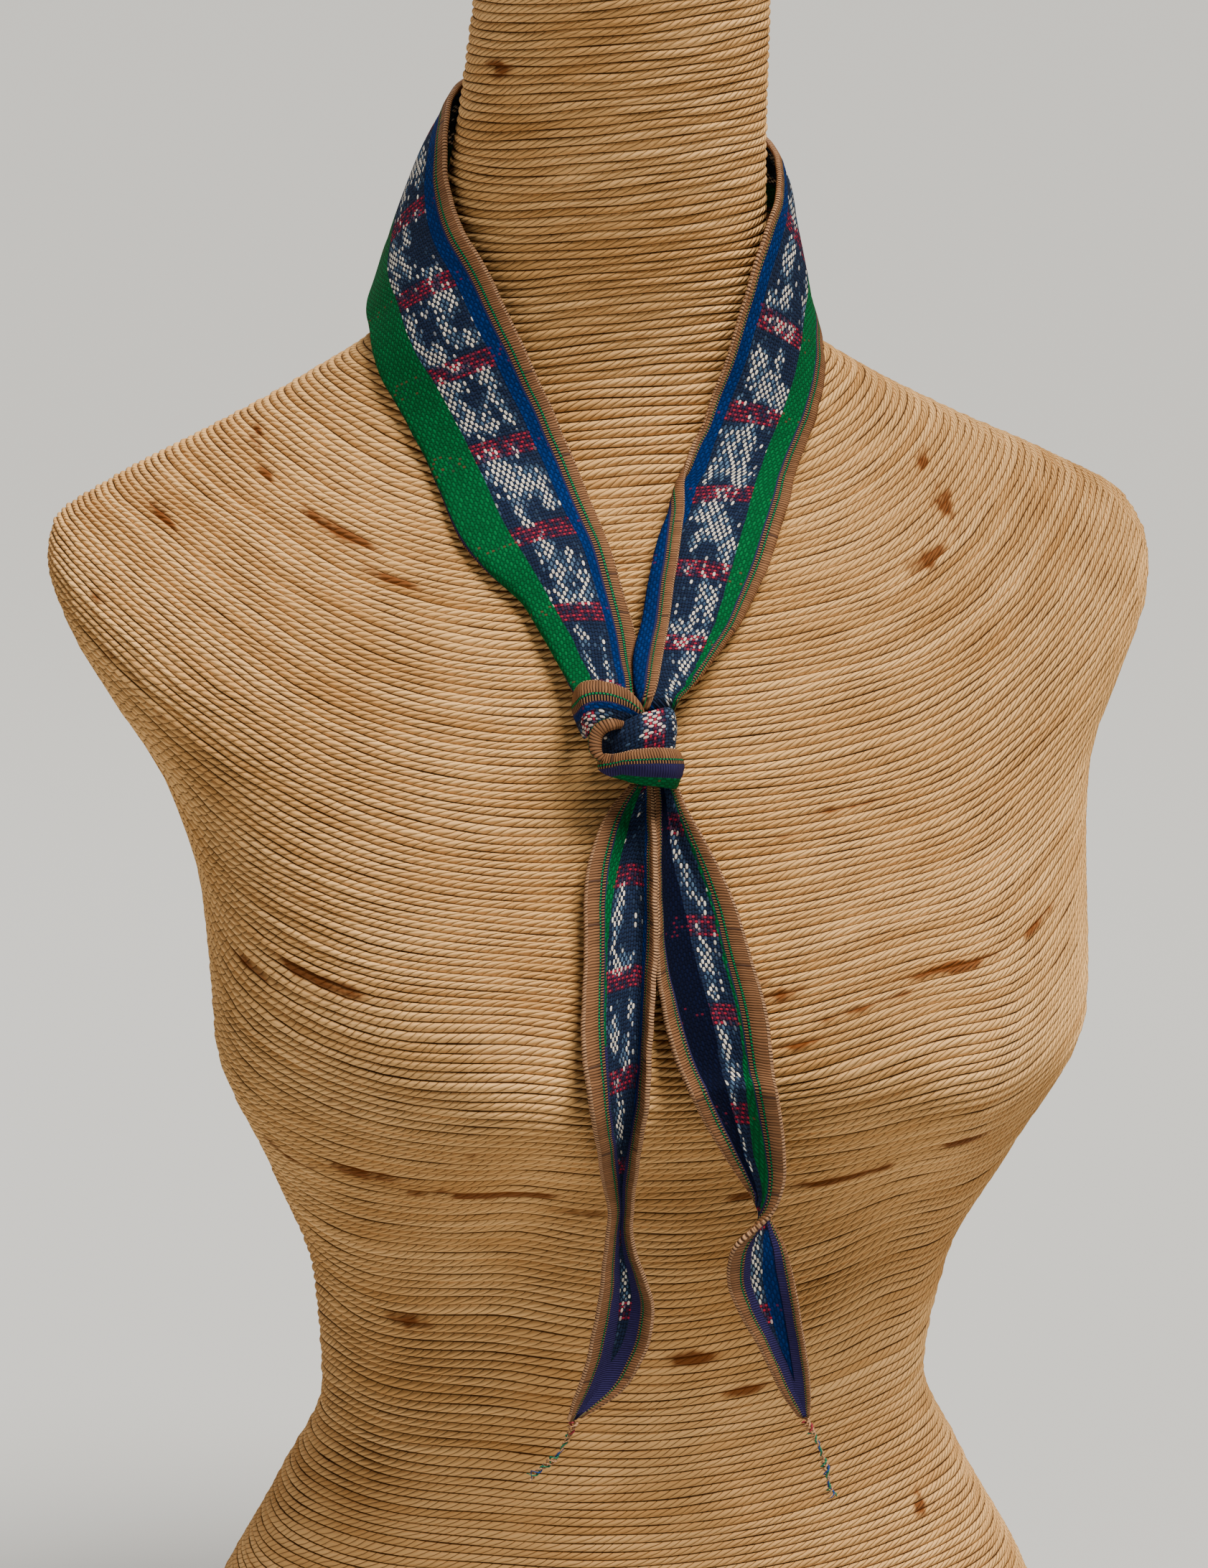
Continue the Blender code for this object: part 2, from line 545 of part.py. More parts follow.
def build_knot_core():
    """Rounded body of the folded layers inside the knot."""
    rings = []
    power = 2 / KNOT_SQUARENESS
    width, height, depth = knot_size(KNOT_PADDING)
    turns = np.radians(np.arange(0, 360, 15))
    for lat in np.radians([-80, -62, -44, -27, -10, 10, 27, 44, 62, 80]):
        c, s = math.cos(lat)**power, math.copysign(abs(math.sin(lat))**power, math.sin(lat))
        ring = [(width*c*math.copysign(abs(math.cos(t))**power, math.cos(t)), height*s,
                 depth*c*math.copysign(abs(math.sin(t))**power, math.sin(t)))
                for t in turns]
        rings.append(KNOT_MIDDLE + np.array(ring) @ KNOT_AXES)
    return loft_object("knot_core", rings, CLOTH)


def build_thread(name, points):
    """Twisted thread end with small knots."""
    rows = spline(points, 2*len(points))
    places = np.array([[r[0], rest_y(r[0], r[1]) - r[2], r[1]] for r in rows])
    rings = []
    for i, place in enumerate(places):
        run = places[min(i+1, len(places)-1)] - places[max(i-1, 0)]
        run /= np.linalg.norm(run)
        side = np.cross(run, [0.0, 1.0, 0.0])
        side /= np.linalg.norm(side)
        other = np.cross(run, side)
        rings.append([place + rows[i][3]*(side*math.cos(t) + other*math.sin(t))
                      for t in np.radians(np.arange(0, 360, 60))])
    return loft_object(name, rings, THREAD)


for old in list(bpy.data.objects):
    bpy.data.objects.remove(old, do_unlink=True)
COLLECTION = bpy.data.collections.new("neck_scarf_on_dress_form")
bpy.context.scene.collection.children.link(COLLECTION)
CLOTH = new_material("ikat_cloth", (0.10, 0.11, 0.20), 0.85)
THREAD = new_material("border_thread", (0.42, 0.28, 0.18), 0.8)

build_form()
build_loop()
build_knot_core()
build_wrap("knot_upper_wrap", UPPER_WRAP_ROWS, 1.7, False)
build_wrap("knot_side_wrap", SIDE_WRAP_ROWS, 0.4, True)
build_wrap("knot_front_wrap", FRONT_WRAP_ROWS, 0.6, False)
build_wrap("knot_lower_wrap", LOWER_WRAP_ROWS, 0.5, False)
build_tail("tail_left", LEFT_TAIL_ROWS)
build_tail("tail_right", RIGHT_TAIL_ROWS)
build_thread("thread_tail_left", LEFT_THREAD)
build_thread("thread_tail_right", RIGHT_THREAD)
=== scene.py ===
"""Woven neck scarf, knotted once in front, on a limbless dress form wound with jute twine.

Lengths in the tables are in millimetres, finished meshes in metres. The form stands on
z = 0 and faces -y. Turns are degrees from its front, positive towards +x.
"""

import logging
import math
from dataclasses import dataclass
from enum import Enum
from typing import Any, NamedTuple, Optional, Sequence, Union

import bpy
import numpy as np
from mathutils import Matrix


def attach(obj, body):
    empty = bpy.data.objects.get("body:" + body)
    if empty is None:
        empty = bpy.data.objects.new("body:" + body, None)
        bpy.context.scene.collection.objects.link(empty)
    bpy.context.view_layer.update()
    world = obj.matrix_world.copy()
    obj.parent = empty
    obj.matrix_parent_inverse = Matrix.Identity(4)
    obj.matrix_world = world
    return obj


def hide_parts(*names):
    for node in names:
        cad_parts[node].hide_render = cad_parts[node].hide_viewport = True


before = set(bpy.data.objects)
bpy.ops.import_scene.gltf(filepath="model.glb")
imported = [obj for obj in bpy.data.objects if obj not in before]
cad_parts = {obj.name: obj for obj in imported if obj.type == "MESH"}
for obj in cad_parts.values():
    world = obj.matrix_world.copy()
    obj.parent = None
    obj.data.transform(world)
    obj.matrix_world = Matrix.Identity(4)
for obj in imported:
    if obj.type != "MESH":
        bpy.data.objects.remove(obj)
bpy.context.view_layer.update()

LOG = logging.getLogger("neck_scarf")
MM = 0.001
Array = np.ndarray
Colour = tuple[float, float, float, float]


class Piece(Enum):
    """Nodes of the solid model that the scene's pieces stand for."""
    FORM = "dress_form"
    LOOP = "neck_loop"
    KNOT_CORE = "knot_core"
    UPPER_WRAP = "knot_upper_wrap"
    SIDE_WRAP = "knot_side_wrap"
    FRONT_WRAP = "knot_front_wrap"
    LOWER_WRAP = "knot_lower_wrap"
    LEFT_TAIL = "tail_left"
    RIGHT_TAIL = "tail_right"
    LEFT_THREAD = "thread_tail_left"
    RIGHT_THREAD = "thread_tail_right"


# Tables of the form and the scarf

class FormSection(NamedTuple):
    """Level section of the form: widths from its middle and how square it is."""
    z: float
    half_width: float
    front: float
    back: float
    mid_x: float
    mid_y: float
    squareness: float


FORM_SECTIONS = [
    FormSection(0, 173, 96, 98, 2, 0, 2.20),
    FormSection(45, 172, 97, 104, 2, 1, 2.20),
    FormSection(100, 155, 92, 98, 1, -1, 2.20),
    FormSection(150, 129, 84, 80, 0, -4, 2.15),
    FormSection(190, 112, 78, 68, 0, -8, 2.15),
    FormSection(235, 117, 79, 74, 2, -12, 2.15),
    FormSection(280, 136, 82, 84, 5.5, -17, 2.20),
    FormSection(330, 157, 84, 95, 8, -21, 2.30),
    FormSection(380, 158, 82, 100, 6, -20, 2.40),
    FormSection(420, 165, 80, 97, 2, -13, 2.50),
    FormSection(450, 181, 76, 91, 0, -5, 2.60),
    FormSection(475, 194, 70, 83, -0.5, 4, 2.60),
    FormSection(492, 198, 64, 73, -1.5, 12, 2.50),
    FormSection(506, 194, 58, 65, -3, 19, 2.40),
    FormSection(520, 171, 53, 58, -4.5, 26, 2.20),
    FormSection(536, 136, 50, 54, -5.5, 31, 2.05),
    FormSection(552, 104, 49, 52, -5.5, 33, 2.00),
    FormSection(570, 76, 50, 52, -4.5, 31, 2.00),
    FormSection(592, 62, 51, 51, -3, 25, 2.00),
    FormSection(632, 55, 51, 50, -1.5, 12, 2.00),
    FormSection(692, 50, 50, 48, 0, -5, 2.00),
    FormSection(714, 47, 47, 45, 1, -11, 2.00),
    FormSection(728, 41, 41, 39, 1, -15, 2.00),
    FormSection(736, 31, 31, 30, 1, -17, 2.00),
    FormSection(740, 18, 18, 18, 1, -18, 2.00),
]


class LoopRow(NamedTuple):
    """Section of the neck loop between its two visible edges.

    Turns are degrees from the front, lifts are off the form. `over` is the border
    folded over to the front at the inner edge, `tuck` the cloth folded under at the
    outer edge.
    """
    inner_turn: float
    inner_z: float
    inner_lift: float
    outer_turn: float
    outer_z: float
    outer_lift: float
    bulge: float
    over: float
    tuck: float


LOOP_ROWS = [
    LoopRow(-10.4, 447.4, 17, -23.5, 452.9, 13, 1.5, 0, 4),
    LoopRow(-10, 452.9, 16, -24.2, 456, 13, 2, 0, 6),
    LoopRow(-9.5, 458.3, 13, -24.9, 459.6, 11, 2.5, 0, 8),
    LoopRow(-9.2, 464, 9.5, -27, 466.1, 8, 3, 0, 11),
    LoopRow(-9.3, 473, 7.5, -30.1, 474.7, 6.5, 3, 0, 12),
    LoopRow(-10.8, 485.5, 6, -34.2, 484.6, 5.5, 3.5, 0, 12),
    LoopRow(-12.5, 499, 6, -40.2, 493, 5.5, 4, 0, 11),
    LoopRow(-15.6, 510.7, 6.5, -45.9, 502.8, 5, 4, 0, 10),
    LoopRow(-19.9, 525.7, 8, -50.6, 516.9, 5, 4, 0, 10),
    LoopRow(-26.3, 544.5, 9, -55.6, 531.7, 5, 4, 0, 10),
    LoopRow(-33.4, 563.6, 9, -61.6, 544.9, 5, 4.5, 0, 9),
    LoopRow(-42.8, 582.2, 8, -69.6, 557.3, 6, 5, 0, 10),
    LoopRow(-52.4, 596.4, 7, -79.5, 567.3, 8, 5, 0, 9),
    LoopRow(-68, 610.5, 4.5, -91, 576.5, 10.5, 5, 0, 8),
    LoopRow(-81, 623, 3.6, -100, 589.5, 13.8, 4.5, 0, 6.5),
    LoopRow(-92, 637.5, 3.6, -108, 600.5, 13.5, 4, 0, 4),
    LoopRow(-106, 648.5, 3.4, -119, 608.5, 12.2, 4, 0, 2),
    LoopRow(-128, 656, 3.3, -138, 610, 10, 4, 0, 1),
    LoopRow(-153, 659, 3.2, -158, 608, 8, 3.5, 0, 1),
    LoopRow(-180, 658, 3.2, -180, 604, 7.5, 3.5, 0, 1),
    LoopRow(-207, 653, 3.2, -203, 601.5, 8, 3.5, 0, 1),
    LoopRow(-233, 645.5, 3.2, -225, 600.5, 9, 3.5, 0, 1),
    LoopRow(-256, 636.5, 3.2, -246, 601.5, 10.5, 3.5, 0, 1),
    LoopRow(-273, 630.2, 3.3, -262, 601, 10.5, 3.5, 0, 1),
    LoopRow(-282, 626, 4, -272, 594, 7.8, 3.5, 0, 1),
    LoopRow(-290.5, 617, 4.8, -280, 578, 6.8, 3.5, 0, 1),
    LoopRow(-301.5, 606.5, 5.4, -286.5, 566.5, 7, 3.5, 0, 1),
    LoopRow(-311, 592.7, 6.3, -290.5, 560.5, 6.2, 3.5, 0, 1),
    LoopRow(-317.2, 577.5, 8, -294, 553.5, 5.5, 3.5, 0, 1),
    LoopRow(-322, 559, 9, -299, 543, 5, 3.5, 0, 1),
    LoopRow(-327.5, 541.5, 9, -304, 532.5, 5, 3.5, 0, 1),
    LoopRow(-336.5, 522.5, 8, -310.5, 520.5, 5, 3.5, 3.5, 1),
    LoopRow(-342.2, 515, 7.4, -314.2, 513.2, 5, 3.5, 6, 1),
    LoopRow(-347.5, 507.5, 7, -318.5, 506.5, 5, 3.5, 8.5, 1),
    LoopRow(-355.8, 496.5, 7, -328, 492, 5, 3.5, 11.5, 1),
    LoopRow(-360.8, 486.5, 7.2, -335.3, 482.5, 5.5, 3.5, 12.3, 2),
    LoopRow(-364.9, 475.8, 8.5, -342.5, 473.5, 7, 3, 12.8, 3),
    LoopRow(-368.8, 465.5, 11.5, -350, 464.3, 10.5, 2, 13.4, 3),
    LoopRow(-370, 456.3, 15.5, -358.1, 455.1, 15, 1.5, 11.5, 3),
    LoopRow(-369.8, 451.3, 17, -361.1, 451.8, 16, 1.5, 9, 2),
    LoopRow(-369.5, 447.8, 16, -362.7, 449, 14, 1, 6, 2),
]


class TailRow(NamedTuple):
    """Section of a hanging end: x and forward stand-off of five places across it."""
    z: float
    x0: float
    out0: float
    x1: float
    out1: float
    x2: float
    out2: float
    x3: float
    out3: float
    x4: float
    out4: float


LEFT_TAIL_ROWS = [
    TailRow(431.4, -18.0, 8.5, -16.4, 8, -14.8, 8, -12.6, 8.5, -11.0, 9.5),
    TailRow(424, -26.0, 9, -21.0, 8, -16.5, 7, -12.6, 8, -11.4, 10.5),
    TailRow(416, -31.5, 10, -24.7, 8, -18.0, 5.5, -13.2, 9, -12.2, 13),
    TailRow(406, -36.0, 11, -27.2, 8, -19.4, 4, -14.6, 10, -13.4, 15),
    TailRow(394, -38.5, 11, -29.8, 8, -20.6, 4, -16.2, 10, -15.1, 16),
    TailRow(380, -40.7, 11, -32.0, 8, -22.2, 4, -18.4, 10, -17.2, 16),
    TailRow(364, -44.3, 11, -34.7, 8, -24.6, 4, -21.8, 10, -21.0, 17),
    TailRow(350, -45.0, 11, -36.0, 8, -26.6, 4, -23.9, 9, -23.1, 16),
    TailRow(336, -43.0, 10, -35.0, 7, -28.2, 4, -25.6, 8, -24.4, 14),
    TailRow(322, -39.5, 9, -33.0, 6.5, -28.8, 4, -26.6, 7, -25.2, 12),
    TailRow(310, -36.5, 8, -31.9, 6, -28.9, 4, -26.7, 6, -24.9, 9.5),
    TailRow(298, -33.6, 7, -31.0, 5.5, -28.9, 4, -27.0, 5, -25.3, 8),
    TailRow(286, -34.0, 7, -31.0, 4.5, -28.4, 3, -26.6, 4, -25.0, 7),
    TailRow(272, -35.2, 7, -30.6, 4, -26.4, 2.5, -23.2, 4, -20.6, 8),
    TailRow(262, -36.2, 7, -30.7, 4, -25.7, 2.5, -21.3, 4, -17.6, 8),
    TailRow(250, -38.0, 7, -32.0, 4, -26.7, 2.5, -22.0, 4, -18.0, 8),
    TailRow(240, -40.0, 7, -34.8, 4, -29.9, 2.5, -25.4, 4, -21.6, 8),
    TailRow(230, -42.8, 6.3, -38.9, 4.5, -35.0, 3.5, -31.2, 4.5, -27.6, 7),
    TailRow(221, -45.2, 6, -44.2, 5, -42.8, 4.5, -41.3, 5, -40.0, 5.6),
]

RIGHT_TAIL_ROWS = [
    TailRow(433.4, -10.4, 8.5, -8.8, 8, -6.6, 8, -5.0, 8.5, -3.6, 9.5),
    TailRow(424, -10.8, 9, -8.4, 7, -5.6, 6.5, -2.6, 8, 0.0, 10),
    TailRow(416, -11.9, 10.5, -9.0, 6.5, -5.4, 4.5, -0.4, 8, 3.8, 11),
    TailRow(406, -13.0, 13, -9.8, 7, -4.4, 4, 3.0, 8, 8.6, 11),
    TailRow(394, -14.4, 13, -10.2, 6, -2.2, 4, 6.2, 7.5, 13.0, 11),
    TailRow(380, -16.0, 12.5, -10.4, 6, -0.4, 4, 8.6, 7.5, 16.0, 11),
    TailRow(364, -15.4, 11, -8.6, 6, 2.6, 4, 11.6, 7.5, 19.3, 11),
    TailRow(350, -12.5, 10, -5.0, 5.5, 5.0, 4, 13.2, 7.5, 20.3, 11),
    TailRow(338, -8.0, 9, -1.2, 5.5, 7.2, 4, 14.2, 7.5, 20.8, 11),
    TailRow(326, -2.0, 7, 3.8, 5, 10.0, 4, 16.4, 7.5, 23.0, 11),
    TailRow(314, 5.0, 5.5, 9.0, 4.5, 13.6, 4.5, 19.0, 8, 24.3, 12),
    TailRow(303, 12.0, 4, 14.3, 4.3, 16.8, 5.2, 19.9, 8.5, 24.2, 12.5),
    TailRow(293, 19.4, 2.8, 18.8, 4.8, 18.4, 7, 18.6, 9.6, 19.9, 12.6),
    TailRow(284, 25.4, 2.8, 21.8, 4.5, 17.6, 7, 13.2, 9.6, 9.2, 11.6),
    TailRow(276, 28.8, 3.6, 24.2, 4, 18.6, 6, 12.6, 8.5, 7.0, 10),
    TailRow(267, 31.1, 5, 26.4, 3.4, 20.4, 3.4, 13.8, 5.6, 7.8, 8),
    TailRow(257, 33.1, 6, 28.5, 3.4, 23.0, 2.6, 17.2, 4.4, 11.8, 7),
    TailRow(244, 35.5, 6, 31.8, 3.6, 27.5, 2.8, 23.1, 4.2, 19.1, 6.6),
    TailRow(232, 37.7, 6, 34.7, 4.2, 31.3, 3.4, 27.9, 4.4, 24.7, 6),
    TailRow(222, 38.9, 5.4, 36.8, 4.6, 34.5, 4.2, 32.1, 4.8, 29.8, 5.4),
    TailRow(214.5, 39.0, 5.2, 38.0, 4.8, 37.0, 4.6, 35.8, 4.8, 34.8, 5.2),
]


class KnotRow(NamedTuple):
    """Line down a stretch of the knot, from its upper end to its lower one.

    The ends are given to the right, up and out from the knot's middle. `bulge` is how
    far the line bows outwards between them.
    """
    top_a: float
    top_b: float
    top_h: float
    low_a: float
    low_b: float
    low_h: float
    bulge: float


UPPER_WRAP_ROWS = [
    KnotRow(-13.4, 15.0, -8, -12.6, 5.0, -9, 1.5),
    KnotRow(-14.2, 16.0, -4, -13.6, 4.2, -5, 1.6),
    KnotRow(-15.8, 15.9, 2, -14.8, 0.8, 1, 2.0),
    KnotRow(-16.0, 16.8, 7, -14.6, -0.2, 5, 2.4),
    KnotRow(-15.0, 17.4, 10, -14.4, 0.7, 9.5, 2.4),
    KnotRow(-12.1, 17.4, 11.5, -11.9, 2.3, 11, 2.2),
    KnotRow(-8.4, 16.4, 12.5, -8.4, 2.9, 11.6, 2),
    KnotRow(-4.7, 15.1, 13, -4.9, 2.6, 11, 1.8),
    KnotRow(-1.2, 13.2, 13.5, -1.7, 2.2, 10.4, 1.5),
    KnotRow(1.7, 9.8, 13.5, 0.8, 2.6, 10.4, 1),
    KnotRow(3.9, 6.0, 12.2, 3.1, 3.0, 10.4, 0.4),
]
SIDE_WRAP_ROWS = [
    KnotRow(-0.6, 3.0, 9.6, -1.8, 1.4, 9.0, 0.4),
    KnotRow(-4.5, 3.5, 12.2, -4.5, 1.2, 11.2, 0.8),
    KnotRow(-7.8, 3.8, 13.8, -6.6, 1.0, 12.5, 1.2),
    KnotRow(-11.1, 3.3, 14, -8.9, 0.7, 12, 1.4),
    KnotRow(-13.6, 1.9, 13.2, -10.4, -0.1, 11, 1.5),
    KnotRow(-15.0, -0.3, 12.2, -11.4, -1.7, 10, 1.5),
    KnotRow(-15.4, -3.0, 11.2, -11.6, -3.8, 9.5, 1.5),
    KnotRow(-15.1, -5.9, 10.4, -11.6, -5.7, 9, 1.4),
    KnotRow(-13.8, -8.0, 10, -11.2, -7.2, 8.5, 1.1),
    KnotRow(-11.7, -9.4, 9, -10.4, -7.8, 8, 0.6),
]
FRONT_WRAP_ROWS = [
    KnotRow(-8.5, 2, 3, -9.8, -6, 3, 0),
    KnotRow(-6.9, 1.6, 6, -8.1, -7.6, 6, 0),
    KnotRow(-5.1, 2, 9, -6, -8.4, 8.5, 0.4),
    KnotRow(-2.7, 3.1, 11.5, -3.7, -9, 11, 0.8),
    KnotRow(-0.1, 4.2, 13, -0.8, -9, 12.2, 1),
    KnotRow(2.9, 5.2, 13.8, 2.2, -9, 12.6, 1.2),
    KnotRow(6.3, 5.9, 13.8, 5.3, -9, 12.6, 1.4),
    KnotRow(9.2, 6.8, 12.8, 8.5, -9, 11.8, 1.4),
    KnotRow(11.7, 7.4, 10.8, 11, -8.8, 10, 1.4),
    KnotRow(13.7, 7.5, 7.2, 13.1, -8.4, 7, 1.2),
    KnotRow(15, 7.6, 1, 14.3, -7, 1, 1),
    KnotRow(14.5, 8, -6, 14.2, -6, -6, 0.5),
]
LOWER_WRAP_ROWS = [
    KnotRow(-9.7, -6.3, 5, -10.6, -9.6, 4, 0.4),
    KnotRow(-9.1, -6.7, 8, -10.4, -11.4, 5.4, 1.2),
    KnotRow(-7.4, -7.4, 10.6, -8.2, -13.4, 6.8, 1.5),
    KnotRow(-4.6, -7.4, 12.8, -4.3, -15.3, 7.8, 1.8),
    KnotRow(-1.7, -7, 14.2, -1.1, -16.6, 8.3, 2.1),
    KnotRow(1.3, -6.9, 15, 2, -17.4, 8.5, 2.3),
    KnotRow(4.8, -6.8, 15.2, 5.7, -18, 8.5, 2.4),
    KnotRow(8.3, -6.9, 14.4, 9.2, -18.5, 8, 2.4),
    KnotRow(11.2, -6.8, 12.4, 11.9, -18.7, 6.5, 2.2),
    KnotRow(13.7, -6.4, 9, 13.9, -18.1, 3.5, 2),
    KnotRow(15.3, -6.2, 3, 15, -16.3, -1, 1.6),
    KnotRow(14.6, -5.4, -5, 14.3, -14.4, -6, 1),
]


class ThreadPoint(NamedTuple):
    """Place along a thread end: x, z, forward stand-off and half thickness."""
    x: float
    z: float
    out: float
    radius: float


LEFT_THREAD = [
    ThreadPoint(-42.9, 220.2, 5.2, 1.9),
    ThreadPoint(-44.6, 214.6, 5.0, 1.0),
    ThreadPoint(-47.8, 207.8, 4.6, 0.7),
    ThreadPoint(-50.0, 205.6, 4.4, 1.5),
    ThreadPoint(-53.5, 202.7, 4.2, 0.7),
    ThreadPoint(-57.7, 199.6, 4.0, 0.5),
]
RIGHT_THREAD = [
    ThreadPoint(37.1, 213.5, 5.0, 2.0),
    ThreadPoint(39.4, 209.0, 5.0, 1.5),
    ThreadPoint(42.4, 203.6, 4.7, 0.7),
    ThreadPoint(44.3, 198.6, 4.5, 0.7),
    ThreadPoint(45.5, 194.0, 4.4, 1.5),
    ThreadPoint(46.8, 189.0, 4.2, 0.7),
    ThreadPoint(48.4, 182.2, 4.0, 0.5),
]


class ZoneRow(NamedTuple):
    """Widths of the zones that lie across a stretch at a length along it.

    They run from the blue edge to the green one. `plain` is the width of dark satin
    inside each trim.
    """
    at: float
    satin: float
    trim: float
    blue: float
    ikat: float
    green: float
    trim_2: float
    satin_2: float
    plain: float


LOOP_ZONES = [
    ZoneRow(0, 5.0, 2.8, 2.0, 9.0, 7.0, 2.0, 2.4, 0),
    ZoneRow(16, 5.2, 2.8, 2.0, 9.8, 9.0, 3.0, 4.6, 0),
    ZoneRow(27, 5.0, 3.0, 2.0, 12, 10.0, 3.0, 5.8, 0),
    ZoneRow(43, 4.9, 3.6, 2.4, 17.5, 11.0, 3.2, 6, 0),
    ZoneRow(62, 4.5, 3.6, 3.2, 21.5, 14, 3.2, 6, 0),
    ZoneRow(85, 4.8, 3.2, 4.0, 21.5, 15.0, 3.2, 5.4, 0),
    ZoneRow(150, 4.4, 2.6, 4.4, 21.5, 16.5, 2.6, 4.6, 0),
    ZoneRow(205, 4.4, 2.6, 4.8, 21.5, 16.5, 2.2, 3.8, 0),
    ZoneRow(290, 4.0, 2.0, 4.8, 21.5, 12.5, 3.2, 5.8, 0),
    ZoneRow(360, 3.6, 1.0, 4.8, 21.5, 12.0, 3.2, 5.6, 0),
    ZoneRow(420, 2.9, 0.2, 4.6, 20.5, 10.0, 2.8, 4.4, 0),
    ZoneRow(500, 2.6, 0.3, 4.0, 19.0, 7.5, 2.6, 4.2, 0),
    ZoneRow(516, 2.7, 0.9, 5.6, 18.5, 7.0, 2.6, 4.2, 0),
    ZoneRow(532, 2.8, 1.4, 9.0, 19.5, 7.0, 2.6, 4.2, 0),
    ZoneRow(558, 2.8, 1.6, 12.0, 21.0, 6.0, 2.5, 4.0, 0),
    ZoneRow(585, 2.8, 1.6, 14.0, 19.0, 3.5, 2.3, 3.4, 0),
    ZoneRow(605, 2.8, 1.6, 13.0, 14.0, 0.4, 1.6, 2.4, 0),
    ZoneRow(625, 2.8, 1.6, 9.0, 8.0, 0.2, 1.2, 1.8, 0),
]
LEFT_TAIL_ZONES = [
    ZoneRow(0, 2.0, 0.8, 0.2, 1.5, 2.6, 1.6, 3.2, 0),
    ZoneRow(18, 3.2, 1.6, 0.6, 8.0, 5.0, 2.8, 5.0, 0),
    ZoneRow(40, 4.0, 2.2, 1.6, 15.5, 2.6, 3.0, 5.6, 0),
    ZoneRow(56, 4.4, 2.4, 2.0, 17.0, 0.2, 3.0, 5.8, 0),
    ZoneRow(110, 4.2, 2.4, 1.6, 13.0, 0.1, 3.0, 5.8, 0.5),
    ZoneRow(140, 3.2, 1.8, 0.3, 5.0, 0.1, 2.2, 4.6, 1.2),
    ZoneRow(156, 2.8, 1.6, 0.2, 3.5, 0.1, 1.8, 3.6, 1.0),
    ZoneRow(185, 3.0, 1.6, 0.2, 9.5, 0.1, 1.8, 3.6, 3.0),
    ZoneRow(205, 3.4, 1.8, 0.2, 10.5, 0.1, 1.8, 3.6, 4.4),
    ZoneRow(225, 2.4, 1.4, 0.2, 6.0, 0.1, 1.4, 2.4, 8.0),
]
RIGHT_TAIL_ZONES = [
    ZoneRow(0, 1.6, 0.4, 0.4, 1.4, 0.1, 0.6, 1.2, 0),
    ZoneRow(12, 2.8, 0.8, 3.0, 4.6, 0.1, 1.4, 2.2, 0),
    ZoneRow(30, 3.6, 1.4, 8.0, 9.0, 0.1, 2.4, 4.2, 0),
    ZoneRow(60, 4.6, 2.4, 12.0, 9.5, 0.1, 3.0, 6.0, 0),
    ZoneRow(90, 5.4, 3.0, 11.5, 8.6, 0.4, 3.2, 6.2, 0),
    ZoneRow(110, 5.0, 3.0, 8.0, 7.0, 3.4, 3.2, 6.0, 0),
    ZoneRow(132, 3.6, 2.2, 3.0, 3.4, 5.4, 2.8, 5.4, 0),
    ZoneRow(150, 2.4, 1.2, 2.0, 2.4, 2.6, 2.2, 4.6, 0.4),
    ZoneRow(168, 1.4, 0.9, 6.0, 6.6, 0.1, 1.8, 3.8, 2.4),
    ZoneRow(196, 1.4, 0.9, 7.4, 5.2, 0.1, 1.6, 3.4, 3.0),
    ZoneRow(215, 1.4, 0.8, 6.2, 2.6, 0.1, 1.4, 2.8, 3.4),
    ZoneRow(232, 1.2, 0.6, 1.8, 0.6, 0.1, 1.0, 1.6, 3.0),
]


class PhaseMark(NamedTuple):
    """Length along a stretch and the place along the flat scarf that lies there."""
    at: float
    along: float


LOOP_PHASE = [PhaseMark(0, -6), PhaseMark(38, 33), PhaseMark(70, 66), PhaseMark(105, 99),
              PhaseMark(135, 132), PhaseMark(166, 165), PhaseMark(461, 462), PhaseMark(492, 495),
              PhaseMark(525.5, 528), PhaseMark(560, 561), PhaseMark(592, 594), PhaseMark(617, 619)]
LEFT_TAIL_PHASE = [PhaseMark(0, 0), PhaseMark(31, 33), PhaseMark(67, 66), PhaseMark(101, 99),
                   PhaseMark(135, 132), PhaseMark(190, 198), PhaseMark(230, 238)]
RIGHT_TAIL_PHASE = [PhaseMark(0, -16), PhaseMark(16, 0), PhaseMark(51, 33), PhaseMark(80.5, 66),
                    PhaseMark(115.6, 99), PhaseMark(195, 165), PhaseMark(240, 208)]


class WrapZone(NamedTuple):
    """Share across a stretch of the knot and the place across the flat scarf there."""
    at: float
    across: float


UPPER_WRAP_ZONES = [WrapZone(0, 0), WrapZone(0.31, 6.0), WrapZone(0.345, 6.8), WrapZone(0.5, 8.5),
                    WrapZone(0.52, 9.2), WrapZone(0.63, 13.9), WrapZone(1, 20)]
SIDE_WRAP_ZONES = [WrapZone(0, 6.3), WrapZone(1, 0)]
FRONT_WRAP_ZONES = [WrapZone(0, 17), WrapZone(1, 32.5)]
LOWER_WRAP_ZONES = [WrapZone(0, 57.2), WrapZone(0.25, 51.2), WrapZone(0.3, 50.4), WrapZone(0.36, 48.7),
                    WrapZone(0.38, 48.0), WrapZone(0.7, 44.0), WrapZone(1, 39)]


class White(NamedTuple):
    """Rounded patch of warps kept white: its middle and half sizes along and across."""
    along: float
    across: float
    half_along: float
    half_across: float
    amount: float = 1.0


